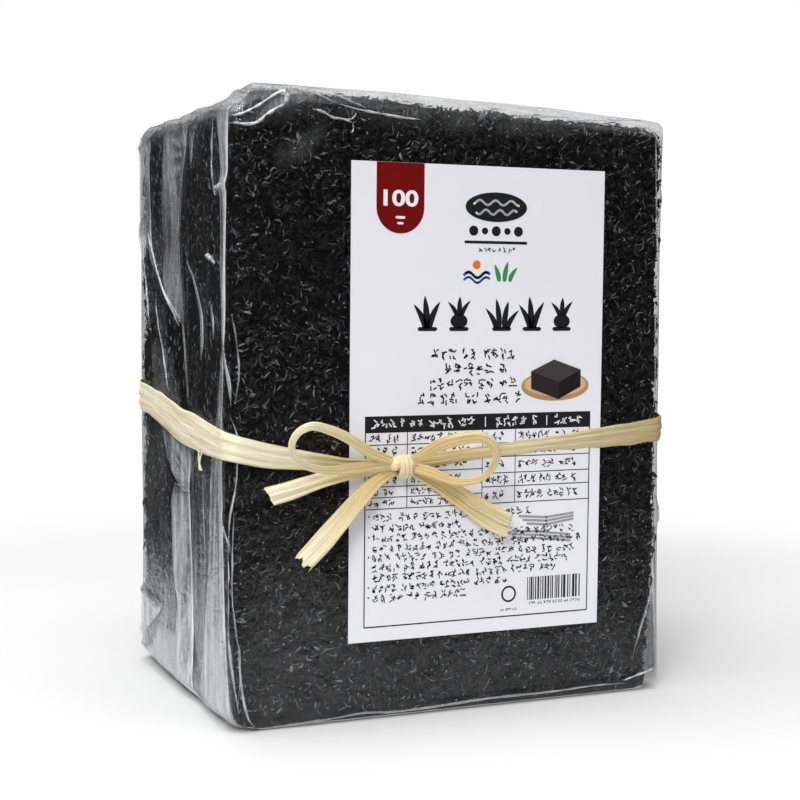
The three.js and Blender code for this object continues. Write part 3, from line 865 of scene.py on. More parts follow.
def label_and_tie_cover(points):
    """1 where the film is pressed flat under the label or the tie, else 0."""
    x, y, z = points.T
    on_front = y < FRONT + 3
    across = smooth(LABEL_LOW[0] - 2, LABEL_LOW[0], x) * (1 - smooth(LABEL_HIGH[0], LABEL_HIGH[0] + 2, x))
    up = smooth(LABEL_LOW[2] - 2, LABEL_LOW[2], z) * (1 - smooth(LABEL_HIGH[2], LABEL_HIGH[2] + 2, z))
    label = across * up * on_front
    height = band_height(points)
    tie = 1 - smooth(5, 8, np.abs(z - height))
    return np.maximum(label, tie)


def band_height(points):
    """Height of the tie where it passes a place on the bag."""
    x, y = points[:, 0], points[:, 1]
    depth = np.minimum(np.abs(y - FRONT), np.abs(y - REAR))
    on_side = np.minimum(np.abs(x - LEFT), np.abs(x - RIGHT)) < depth
    front_rear = np.where(y < 0, column(BAND_ROWS["front"], x, 1), column(BAND_ROWS["rear"], x, 1))
    left_right = np.where(x < 0, column(BAND_ROWS["left"], y, 1), column(BAND_ROWS["right"], y, 1))
    return np.where(on_side, left_right, front_rear)


def write_film(piece, body, gloss, grey=0.0):
    """How milky the film is, how far painted shade greys it, and the most that it may mirror, at each point."""
    for name, value in (("body", np.clip(body, 0, 1)), ("gloss", gloss), ("grey", grey)):
        write_values(piece, name, np.broadcast_to(value, len(piece.data.vertices)))


def film_surface(piece):
    """Shapes the bag and paints where it is hazy."""
    points = pack_form(read_points(piece))
    points[:, 0] += gusset_dent(points, GUSSET_DEPTH)
    write_points(piece, points)
    normals = read_normals(piece)
    x, y, z = points.T
    on_left = smooth(0.45, 0.75, -normals[:, 0])
    on_right = smooth(0.45, 0.75, normals[:, 0])
    on_front = smooth(0.45, 0.75, -normals[:, 1])
    on_rear = smooth(0.45, 0.75, normals[:, 1])
    on_top = smooth(0.35, 0.8, normals[:, 2])
    sides = on_left + on_right
    big, small, streak = Lattice(21), Lattice(22), Lattice(23)
    ridge = (fold_height(y, z, LEFT_FOLDS) * on_left + fold_height(x, z, FRONT_FOLDS) * on_front
             + fold_height(y, z, LEFT_FOLDS) * on_right + fold_height(x, z, REAR_FOLDS) * on_rear
             + fold_height(x, y, TOP_FOLDS) * on_top)
    side_waves = 0.45 * big(x / 9, y / 9, z / 46) + 0.25 * small(x / 3.4, y / 3.4, z / 24)
    face_waves = 0.3 * big(x / 22, y / 22, z / 22) + 0.14 * small(x / 7, y / 7, z / 9)
    top_waves = 0.8 * big(x / 24, y / 12, z / 20) + 0.3 * small(x / 8, y / 5, z / 8)
    waves = side_waves * sides + face_waves * (on_front + on_rear) + top_waves * on_top + 0.15
    cover = label_and_tie_cover(points)
    push = (ridge + waves * (1 - 0.6 * smooth(0, 0.6, ridge))) * (1 - cover) + 0.02 * cover
    points = points + normals * (push * smooth(0.2, 5, z))[:, None]
    points[:, 2] = np.maximum(points[:, 2], 0.0)
    points[:, 1] = np.maximum(points[:, 1], FRONT - 1.4)
    write_points(piece, points)

    streaks = 0.7 + 0.85 * streak(x / 1.1, y / 1.1, z / 40)
    patches = 0.8 + 0.7 * big(x / 9 + 5, y / 9, z / 13)
    rim = rim_height(x, y)
    above_sheets = smooth(rim - 6.0, rim - 3.5, z)
    side_haze = haze_field(z, y, LEFT_HAZE) * sides
    front_haze = haze_field(x, z, FRONT_HAZE) * on_front
    rear_haze = (0.04 + 0.12 * smooth(40, 8, z) + 0.2 * smooth(180, 190, z)) * on_rear
    body = side_haze * streaks * patches + (front_haze + rear_haze) * patches
    free = np.maximum(on_top, above_sheets)
    loose = 0.2 + 0.3 * (1 - smooth(-66, -30, x))  # the film above the sheets is slackest at the left
    strands = 1 + 0.5 * streak(x / 9 + 3, y / 2.2, z / 1.4) + 0.3 * small(x / 3, y / 3, z / 2)
    body = np.maximum(body, loose * free * strands)
    free_edge = smooth(RIGHT - 4.5, RIGHT - 1.0, x) * (1 - on_top) * smooth(20, 60, z)
    body = np.maximum(body, 0.1 * free_edge * patches)
    at_base = 1 - smooth(2.2, 5, z)
    # the loose film above the sheets and by the right edge is greyed: painted shade
    write_film(piece, body, 0.5 - 0.38 * np.maximum(free, at_base), np.maximum(free, free_edge))


def film_finish(settings):
    finish = Finish("clear film")
    body = finish.attribute("body")
    gloss = finish.attribute("gloss")
    # grey is painted shade where the film stands loose
    colour = finish.blend(finish.attribute("grey"), tuple(settings.tint), tuple(c * 0.36 for c in settings.tint))
    upright = finish.noise(finish.place((1, 1, 0.1)), 0.9, detail=4, roughness=0.6)
    crinkle = finish.noise(finish.place(), 0.16, detail=5, roughness=0.55, distortion=1.2)
    fine = finish.noise(finish.place(), 1.1, detail=3)
    normal = finish.bump(upright * 0.35 + crinkle * 1.0 + fine * 0.08, settings.wrinkle * 3, 0.5)
    glance = finish.node("ShaderNodeFresnel", None, {"IOR": 1.42, "Normal": normal})
    mirror = finish.node("ShaderNodeMath", {"operation": "MINIMUM"}, {0: glance * settings.shine, 1: gloss})
    milky = body * finish.span(upright, 0.3, 0.72, 0.55, 1.3) + settings.haze
    cover = finish.node("ShaderNodeMath", {"operation": "MINIMUM"}, {0: milky + mirror, 1: 0.97})
    return finish.set(Base_Color=colour, Metallic=mirror / (milky + mirror), Alpha=cover,
                      Roughness=finish.span(fine, 0.3, 0.7, 0.08, 0.17), Normal=normal)


# the faces of the bag as seen from outside: outward direction, and where a flat point (u, v) lies
FACES = {
    "left": ((-1, 0, 0), lambda u, v: (LEFT - 30, u, v)),
    "right": ((1, 0, 0), lambda u, v: (RIGHT + 30, u, v)),
    "front": ((0, -1, 0), lambda u, v: (u, FRONT - 30, v)),
    "rear": ((0, 1, 0), lambda u, v: (u, REAR + 30, v)),
    "top": ((0, 0, 1), lambda u, v: (u, v, HEIGHT + 30)),
}


STRIP = 0.06  # thickness of the strips of film
MIRROR_NARROWER, MIRROR_FAINTER = 0.93, 0.8  # the right side's pleats against the left's


def on_bag(bag, face, flat, lift):
    """Moves flat points of a face onto the bag, `lift` above it."""
    out, place = FACES[face]
    inward = -Vector(out)
    low, high = (FRONT + 1, REAR - 1) if face in ("left", "right") else (LEFT + 0.4, RIGHT - 0.4)
    points = []
    for (u, v), rise in zip(flat, lift):
        u = min(max(u, low), high)
        hit, spot, _, _ = bag.ray_cast(Vector(place(u, v)) * MM, inward)
        if not hit:
            _, spot, _, _ = bag.closest_point_on_mesh(Vector(place(u, v)) * MM)
        points.append(np.array(spot) / MM + np.array(out) * rise)
    return np.array(points)


def film_strip(bag, name, face, flat, lift, body, gloss):
    """A thin strip of film laid on the bag; arrays hold a row of values for each place along it."""
    along, across = lift.shape
    piece = grid_piece(name, along, across)
    order = read_points(piece)
    row = np.rint((order[:, 0] + 1) / 2 * (along - 1)).astype(int)
    line = np.rint((order[:, 1] + 1) / 2 * (across - 1)).astype(int)
    index = row * across + line
    write_points(piece, on_bag(bag, face, flat.reshape(-1, 2), lift.ravel())[index])
    write_film(piece, body.ravel()[index], gloss)
    recalculate(piece)
    apply(piece, "SOLIDIFY", thickness=STRIP * MM, offset=0.0)
    shade_smooth(piece)
    return piece


def film_fold(bag, name, face, fold):
    """A sharp fold: a narrow ridge that tapers at its ends."""
    width, rise, shine, points = fold
    count = max(10, int(6 * len(points)))
    path = smooth_path([(u, v, 0) for u, v in points], count)[:, :2]
    t = np.linspace(0, 1, count)
    draws = np.random.default_rng(int(1000 * abs(points[0][0]) + points[0][1]))
    crumple = np.interp(t, np.linspace(0, 1, 3 * len(points)), draws.uniform(-1, 1, 3 * len(points)))
    taper = np.clip(np.minimum(t, 1 - t) * 7, 0.15, 1) ** 0.6 * (1 + 0.4 * crumple)
    path[:, 0] += 0.16 * width * crumple
    tangent = unit(np.gradient(path, axis=0))
    side = np.stack((-tangent[:, 1], tangent[:, 0]), axis=1)
    profile = np.array((-1, -0.45, 0, 0.45, 1))
    flat = path[:, None, :] + side[:, None, :] * (profile[None, :, None] * (width / 2 * taper)[:, None, None])
    lift = 0.08 + rise * taper[:, None] * np.array((0, 0.75, 1, 0.75, 0))[None]
    flicker = 0.75 + 0.4 * np.interp(t, np.linspace(0, 1, 13), draws.uniform(-1, 1, 13))
    body = shine * 0.62 * flicker[:, None] * taper[:, None] * np.array((0.35, 0.9, 1, 0.9, 0.35))[None]
    return film_strip(bag, name, face, flat, lift, body, 0.4)


def film_pleat(bag, name, face, pleat):
    """A flat pleat between two edges, brightest along them."""
    (rear_rim, front_rim), rows = pleat
    heights = [row[0] for row in rows]
    count = int(4 + (max(heights) - min(heights)) / 1.6)
    z = np.linspace(max(heights), min(heights), count)
    rear, front, strength = (column(rows, z, k) for k in (1, 2, 3))
    u = 0.5 - 0.5 * np.cos(np.linspace(0, math.pi, 19))
    y = rear[:, None] + (front - rear)[:, None] * u[None]
    width = np.abs(front - rear)[:, None]
    flat = np.stack((y, np.broadcast_to(z[:, None], y.shape)), axis=2)
    lift = 0.1 + 0.55 * np.sin(math.pi * u)[None] ** 0.6 * np.clip(width / 6, 0.3, 1)
    ends = np.clip(np.minimum(np.arange(count), np.arange(count)[::-1]) / 3, 0.1, 1)[:, None]
    rims = rear_rim * np.exp(-(u[None] * width / 0.5) ** 2) + front_rim * np.exp(-((1 - u)[None] * width / 0.5) ** 2)
    level, none = z[:, None] + 0 * y, 0 * y
    lines = Lattice(31)(y / 0.75, level / 26, none) + 0.6 * Lattice(32)(y / 2.1, level / 17, none)
    # pleats are milkier towards the base: painted reflection of the floor
    low_down = 1 + 0.5 * smooth(100, 40, z)[:, None]
    body = (strength[:, None] * 0.5 * np.clip(1 + 0.85 * lines, 0.2, 2.2) + rims * 0.5) * ends * low_down
    return film_strip(bag, name, face, flat, lift, body, 0.12)


def join(name, pieces):
    """Joins pieces of one kind into the first of them."""
    deselect()
    for piece in pieces:
        piece.select_set(True)
    bpy.context.view_layer.objects.active = pieces[0]
    bpy.ops.object.join()
    pieces[0].name = name
    pieces[0].data.name = name
    return pieces[0]


# ================================================================== label

PAPER = 0.12  # thickness of the label
PAPER_LIFT = 0.08  # its face lies this far behind the frame's
PRINT_RISE = 0.05  # the print stands this far off the paper
PRINT_SINK = 0.02


def label_front(x):
    """Where the paper's face lies."""
    return LABEL_LOW[1] + PAPER_LIFT + 0 * x


def paper_finish(settings):
    finish = Finish("label paper")
    place = finish.place()
    fibres = finish.noise(place, 1.3, detail=4)
    clouds = finish.noise(place, 0.04, detail=2)
    shade = finish.blend(clouds * 0.5, tuple(settings.paper), tuple(c * 0.95 for c in settings.paper))
    normal = finish.bump(fibres + clouds * 3.0, 0.0002, 0.25)
    return finish.set(Base_Color=shade, Roughness=finish.span(fibres, 0.3, 0.7, 0.5, 0.62), Normal=normal)


def ink_finish(name, colour, roughness=0.45):
    """Print: the colour is a little worn and uneven, as ink on paper is."""
    finish = Finish(name)
    place = finish.place()
    grain = finish.noise(place, 3.0, detail=3)
    paler = tuple(min(1.0, c * 1.25 + 0.003) for c in colour)
    finish.shader.inputs["Specular IOR Level"].default_value = 0.2
    return finish.set(Base_Color=finish.blend(finish.span(grain, 0.45, 0.8), tuple(colour), paler),
                      Roughness=finish.span(grain, 0.3, 0.7, roughness - 0.06, roughness + 0.1),
                      Normal=finish.bump(grain, 0.00005, 0.3))


class Print:
    """Flat marks of one colour, gathered and made as one piece just above the paper."""

    def __init__(self, name, level=0):
        self.name = name
        self.level = level
        self.outlines = []

    def polygon(self, points):
        self.outlines.append(np.array(points, float))

    def bar(self, x, z, width, height, cut=0.0):
        """A bar centred at x, z, with its corners cut if asked."""
        w, h = width / 2, height / 2
        if cut <= 0:
            self.polygon([(x - w, z - h), (x + w, z - h), (x + w, z + h), (x - w, z + h)])
            return
        c = min(cut, w * 0.9, h * 0.9)
        self.polygon([(x - w + c, z - h), (x + w - c, z - h), (x + w, z - h + c), (x + w, z + h - c),
                      (x + w - c, z + h), (x - w + c, z + h), (x - w, z + h - c), (x - w, z - h + c)])

    def disc(self, x, z, across, high=None, count=36):
        high = across if high is None else high
        angles = np.linspace(0, 2 * math.pi, count, endpoint=False)
        self.polygon(np.stack((x + across / 2 * np.cos(angles), z + high / 2 * np.sin(angles)), axis=1))

    def blade(self, x, z, lean, high, wide):
        """A leaf that stands on x, z and leans to one side as it rises."""
        t = np.linspace(0, 1, 10)
        middle = x + lean * t ** 1.8
        half = wide / 2 * np.maximum(np.sin(math.pi * (0.16 + 0.84 * t)), 0.02) ** 0.7
        right, left = (np.stack((middle + side * half, z + high * t), axis=1) for side in (1, -1))
        self.polygon(np.vstack((right, left[::-1])))

    def stroke(self, points, width):
        """A line of even width through the points."""
        for (x0, z0), (x1, z1) in zip(points, points[1:]):
            length = math.hypot(x1 - x0, z1 - z0)
            nx, nz = -(z1 - z0) / length * width / 2, (x1 - x0) / length * width / 2
            ex, ez = (x1 - x0) / length * width * 0.3, (z1 - z0) / length * width * 0.3
            self.polygon([(x0 - nx - ex, z0 - nz - ez), (x1 - nx + ex, z1 - nz + ez),
                          (x1 + nx + ex, z1 + nz + ez), (x0 + nx - ex, z0 + nz - ez)])

    def build(self, material):
        points, faces = [], []
        rise = PRINT_RISE * (1 + self.level)
        for outline in self.outlines:
            base = len(points)
            count = len(outline)
            face = label_front(outline[:, 0])
            for lift in (-rise, PRINT_SINK):
                points += [(x, y + lift, z) for (x, z), y in zip(outline, face)]
            faces.append([base + k for k in range(count)])
            faces.append([base + count + k for k in reversed(range(count))])
            for k in range(count):
                after = (k + 1) % count
                faces.append([base + k, base + count + k, base + count + after, base + after])
        mesh = bpy.data.meshes.new(self.name)
        mesh.from_pydata([tuple(c * MM for c in p) for p in points], [], faces)
        piece = bpy.data.objects.new(self.name, mesh)
        bpy.context.scene.collection.objects.link(piece)
        return hand_over(piece, material, "label_paper")


def text_line(ink, draws, left, right, z, high):
    """A line of plain marks where words would stand: groups of short loose strokes, and no letter."""
    x = left
    while x < right - high * 0.5:
        for _ in range(draws.integers(2, 6)):
            if x > right - high * 0.6:
                break
            wide = high * draws.uniform(0.6, 0.8)
            for _ in range(draws.integers(5, 8)):
                middle = (x + wide * draws.uniform(0.1, 0.9), z + high * draws.uniform(-0.4, 0.4))
                angle = draws.choice((0.0, 0.6, 1.57, 2.3)) + draws.normal(0, 0.2)
                reach = high * draws.uniform(0.1, 0.2)
                step = (reach * math.cos(angle), reach * math.sin(angle))
                ink.stroke([(middle[0] - step[0], middle[1] - step[1]), (middle[0] + step[0], middle[1] + step[1])],
                           high * 0.12)
            x += wide + high * 0.16
        x += high * 0.42


NUMBER_LEFT, NUMBER_RIGHT, NUMBER_FOOT, NUMBER_TOP = -27.0, -15.2, 161.5, 166.6


def number_on_tab(settings, material):
    """The count of sheets, in plain digits."""
    deselect()
    bpy.ops.object.text_add()
    piece = start("label_number")
    piece.data.body = settings.number
    piece.data.size = 7.4 * MM
    piece.data.offset = 0.2 * MM
    piece.data.extrude = 0.04 * MM
    piece.data.resolution_u = 6
    bpy.ops.object.convert(target="MESH")
    flat = read_points(piece)
    low, high = flat.min(axis=0), flat.max(axis=0)
    share = (flat - low) / (high - low)
    x = NUMBER_LEFT + (NUMBER_RIGHT - NUMBER_LEFT) * share[:, 0]
    z = NUMBER_FOOT + (NUMBER_TOP - NUMBER_FOOT) * share[:, 1]
    write_points(piece, np.stack((x, label_front(x) - PRINT_RISE * (1.4 + 1.6 * share[:, 2]), z), axis=1))
    return hand_over(piece, material, "label_paper")


# ================================================================== raffia

def straw_finish(settings, name="raffia straw", warmth=1.0):
    """Straw: pale, with fine ribs and tan stripes along it; golden near the knot, partly its own colour and partly
    painted shade; golden and darker towards the right as painted shade, with painted shade in the creases and painted
    highlights on fine lines.
    """
    finish = Finish(name)
    ribs = finish.noise(finish.along_piece((26, 0.35, 1)), 1.0, detail=3, roughness=0.6)
    fine = finish.noise(finish.along_piece((90, 0.9, 1)), 1.0, detail=2, roughness=0.5)
    stripes = finish.noise(finish.along_piece((7.5, 0.2, 1)), 1.0, detail=2, roughness=0.6)
    drift = finish.noise(finish.along_piece((2.2, 0.5, 1)), 1.0, detail=2)
    place = finish.node("ShaderNodeTexCoord", output="Object")
    away = finish.node("ShaderNodeVectorMath", {"operation": "DISTANCE"}, {0: place, 1: tuple(KNOT * MM)},
                       output="Value")
    x = finish.node("ShaderNodeSeparateXYZ", None, {"Vector": place})
    # golden near the knot: partly the straw's own colour, partly painted shade in the strands beside it
    near = finish.span(away, 0.009, 0.046, 0.95, 0.0)
    # golden towards the right: painted shade
    right = finish.span(x, -0.025, 0.015, 0.0, 0.45)
    drifts = finish.span(drift, 0.5, 0.78, 0, 0.4)
    golden = finish.node("ShaderNodeClamp", None, {"Value": (near + right + drifts) * warmth})
    colour = finish.blend(golden, tuple(settings.pale), tuple(settings.golden))
    colour = finish.blend(finish.span(stripes, 0.5, 0.62, 0.0, 0.7), colour, tuple(settings.stripe))
    # darker straw towards the right: painted shade
    colour = finish.blend(finish.span(x, 0.02, 0.08, 0.0, 0.85), colour, tuple(settings.shaded))
    # darker in the creases between the ribs: painted shade
    colour = finish.blend(finish.span(ribs, 0.56, 0.72, 0.0, 0.55), colour, tuple(settings.crease))
    # pale fine lines along the straw: painted highlights
    colour = finish.blend(finish.span(fine, 0.54, 0.7, 0, 0.6), colour, (0.96, 0.90, 0.68))
    normal = finish.bump(ribs * 1.0 + fine * 0.5 + stripes * 1.2, 0.0005, 0.85)
    finish.shader.inputs["Subsurface Weight"].default_value = 0.06
    finish.shader.inputs["Subsurface Radius"].default_value = (0.9, 0.6, 0.25)
    finish.shader.inputs["Subsurface Scale"].default_value = 0.0012
    return finish.set(Base_Color=colour, Roughness=finish.span(ribs, 0.3, 0.7, 0.42, 0.6), Normal=normal)


STRAW_ACROSS = 17  # points over the width of a strip


def straw_profile(across, run, draws_seed, depth, curl):
    """Height of the straw's face over its width: pleats that wander along its length, and curled edges."""
    wander = Lattice(draws_seed)
    flow = np.zeros_like(across)
    pleats = 0.5 * np.sin(across * 9.0 + 1.3 * wander(run / 34, flow, flow) * 2 + draws_seed)
    pleats = pleats + 0.35 * wander(across * 4.2 + 7, run / 26, flow) * 1.6
    pleats = pleats + 0.18 * wander(across * 10 + 3, run / 18, flow)
    return depth * pleats + curl * (np.abs(across) ** 2.4)


def straw_strip(name, middle, across, facing, widths, seed, depth=0.34, curl=-0.5, cut=(0.0, 0.0), loop=False):
    """A strip of straw through the points, pleated along its length; `cut` makes its end ragged."""
    count = len(middle)
    piece = grid_piece(name, count, STRAW_ACROSS)
    order = read_points(piece)
    t = np.rint((order[:, 0] + 1) / 2 * (count - 1)).astype(int)
    s = np.rint((order[:, 1] + 1) / 2 * (STRAW_ACROSS - 1)).astype(int)
    share = s / (STRAW_ACROSS - 1) * 2 - 1
    run = np.concatenate(([0], np.cumsum(np.linalg.norm(np.diff(middle, axis=0), axis=1))))
    if loop:  # the pleats meet again where the strip closes
        ease = 0.5 - 0.5 * np.cos(2 * math.pi * run / run[-1])
        pleat_run = ease * run[-1] / 2
    else:
        pleat_run = run
    height = straw_profile(share, pleat_run[t], seed, depth, curl)
    wave = Lattice(seed + 40)
    edge = 1 + 0.10 * wave(pleat_run[t] / 9, np.sign(share) * 3.3, share * 0)
    points = middle[t] + across[t] * (share * widths[t] / 2 * edge)[:, None] + facing[t] * height[:, None]
    slant, ragged = cut
    if slant or ragged:
        tangent = unit(np.gradient(middle, axis=0))
        teeth = ragged * (0.6 * wave(share * 4.5, share * 0 + 2, share * 0) + 0.5 * np.sign(np.sin(share * 7)))
        reach = slant * share * 0.35 + teeth
        points = points + tangent[t] * (reach * smooth(run[-1] - 9, run[-1], run[t]))[:, None]
    write_points(piece, points)
    uv = piece.data.uv_layers.active or piece.data.uv_layers.new(name="UVMap")
    corner_vertex = np.empty(len(piece.data.loops), int)
    piece.data.loops.foreach_get("vertex_index", corner_vertex)
    flat = np.stack((share * np.mean(widths) / 6 * 0.5 + 0.5, run[t] / 10), axis=1)
    uv.data.foreach_set("uv", flat[corner_vertex].ravel())
    if loop:
        weld_seam(piece)
    recalculate(piece)
    apply(piece, "SOLIDIFY", thickness=STRAW * MM, offset=0.0)
    shade_smooth(piece)
    return piece


def weld_seam(piece):
    """Joins the two ends of a strip that runs all the way round."""
    edit_mesh(piece, bpy.ops.mesh.remove_doubles, threshold=WELD_REACH * MM)


def recalculate(piece):
    edit_mesh(piece, bpy.ops.mesh.normals_make_consistent, inside=False)


def band_route(stand, step=1.6):
    """The turn round the pack: places, outward directions, and the height and width there."""
    left, right, front, rear = (float(v) for v in faces_at(np.array(HEIGHT / 2)))
    left, right, front, rear = left - stand, right + stand + 0.4, front - stand, rear + stand
    radii = [CORNERS[name] + stand for name in ("front_left", "front_right", "rear_right", "rear_left")]
    corners = ((left, front, 1, 1), (right, front, -1, 1), (right, rear, -1, -1), (left, rear, 1, -1))
    plan = []
    for (x, y, sx, sy), radius, start_angle in zip(corners, radii, (180, 270, 0, 90)):
        for angle in np.radians(np.linspace(start_angle, start_angle + 90, 8)):
            plan.append((x + sx * radius + radius * math.cos(angle), y + sy * radius + radius * math.sin(angle)))
    plan = np.array(plan + plan[:1])
    run = np.concatenate(([0], np.cumsum(np.linalg.norm(np.diff(plan, axis=0), axis=1))))
    even = np.linspace(0, run[-1], int(run[-1] / step))
    route = np.stack([np.interp(even, run, plan[:, k]) for k in range(2)], axis=1)
    tangent = np.gradient(route, axis=0)
    facing = unit(np.stack((tangent[:, 1], -tangent[:, 0], np.zeros(len(route))), axis=1))
    facing[-1] = facing[0]
    x, y = route.T
    side = np.where(-facing[:, 1] > 0.707, "front", np.where(facing[:, 1] > 0.707, "rear",
                    np.where(facing[:, 0] > 0, "right", "left")))
    height, width = np.empty(len(route)), np.empty(len(route))
    for name, rows in BAND_ROWS.items():
        here = side == name
        key = x[here] if name in ("front", "rear") else y[here]
        height[here] = column(rows, key, 1)
        width[here] = column(rows, key, 2)
    soften = np.ones(5) / 5
    height, width = (np.convolve(np.concatenate((v[-5:-1], v, v[1:5])), soften, "same")[4:-4] for v in (height, width))
    height[-1], width[-1] = height[0], width[0]
    return np.column_stack((route, height)), facing, width


def strand_frame(path, turns, count):
    """Places along a strand of the bow, with the directions across it and out of its face."""
    middle = smooth_path([(x, FRONT - out, z) for x, out, z in path], count)
    tangent = unit(np.gradient(middle, axis=0))
    flat = unit(np.cross(BOW_FACES, tangent))
    to_viewer = unit(np.cross(tangent, flat))
    t = np.linspace(0, 1, count)
    turn = np.radians(np.interp(t, np.linspace(0, 1, len(turns)), turns))[:, None]
    across = unit(flat * np.cos(turn) + to_viewer * np.sin(turn))
    return middle, across, unit(np.cross(tangent, across))


# ================================================================== operators

class NORI_OT_stack(bpy.types.Operator):
    """Makes the block of folded sheets with its shreds and pale fibres"""
    bl_idname = "nori_pack.stack"
    bl_label = "Nori sheets"

    def execute(self, context):
        settings = context.scene.nori_sheets
        core = block_piece("nori_sheets", (11, 8))
        points = stack_form(read_points(core))
        write_points(core, points)
        normals = read_normals(core)
        relief = stack_relief(points, normals) * smooth(0.2, 3, points[:, 2])
        points = points + normals * (relief - 0.35)[:, None]
        foot = (1 - smooth(3, 7, points[:, 2])) * (1 - smooth(FRONT + 3, FRONT + 8, points[:, 1]))
        points[:, 1] += (FRONT + 0.8 - points[:, 1]) * foot
        write_points(core, under_film(points, 0.9))
        shade_smooth(core)
        hand_over(core, nori_finish(settings).material, "nori", "film_pack")
        draws = np.random.default_rng(settings.seed)
        material = shred_finish(settings).material
        for side, share, grain in (("front", 1.0, 0.1), ("left", 0.95, 0.45), ("right", 0.85, 0.45),
                                   ("rear", 0.95, 0.1), ("top", 0.7, 0.45)):
            piece = scatter_side(side, int(settings.shreds * share), draws, grain)
            hand_over(piece, material, "nori", "film_pack")
        for side, wanted in (("front", 1500), ("left", 900), ("right", 600), ("rear", 1000), ("top", 600)):
            hand_over(scatter_side(side, wanted, draws, 0.1, fibres=True), material, "nori", "film_pack")
        return {"FINISHED"}


class NORI_OT_film(bpy.types.Operator):
    """Makes the crinkled clear bag round the sheets"""
    bl_idname = "nori_pack.film"
    bl_label = "Clear film"

    def execute(self, context):
        material = film_finish(context.scene.nori_film).material
        bag = block_piece("film_bag", (11, 9))
        film_surface(bag)
        shade_smooth(bag)
        context.view_layer.update()
        mirrored = [(rims, tuple((z, rear * MIRROR_NARROWER, front * MIRROR_NARROWER, strength * MIRROR_FAINTER)
                                 for z, rear, front, strength in rows)) for rims, rows in LEFT_PLEATS]
        pleats = ([film_pleat(bag, "pleat", "left", pleat) for pleat in LEFT_PLEATS]
                  + [film_pleat(bag, "pleat", "right", pleat) for pleat in mirrored])
        folds = [film_fold(bag, "fold", face, fold)
                 for face, table in (("left", LEFT_FOLDS), ("front", FRONT_FOLDS), ("right", LEFT_FOLDS),
                                     ("rear", REAR_FOLDS), ("top", TOP_FOLDS)) for fold in table]
        for piece in (bag, join("film_pleats", pleats), join("film_folds", folds)):
            hand_over(piece, material, "clear_film", "film_pack")
        return {"FINISHED"}


class NORI_OT_label(bpy.types.Operator):
    """Makes the paper label"""
    bl_idname = "nori_pack.label"
    bl_label = "Label"

    def execute(self, context):
        piece = grid_piece("label_sheet", 46, 76)
        order = read_points(piece)
        x = LABEL_LOW[0] + (LABEL_HIGH[0] - LABEL_LOW[0]) * (order[:, 0] + 1) / 2
        z = LABEL_LOW[2] + (LABEL_HIGH[2] - LABEL_LOW[2]) * (order[:, 1] + 1) / 2
        write_points(piece, np.stack((x, label_front(x), z), axis=1))
        apply(piece, "SOLIDIFY", thickness=PAPER * MM, offset=-1.0)
        hand_over(piece, paper_finish(context.scene.nori_label).material, "label_paper", "label")
        return {"FINISHED"}


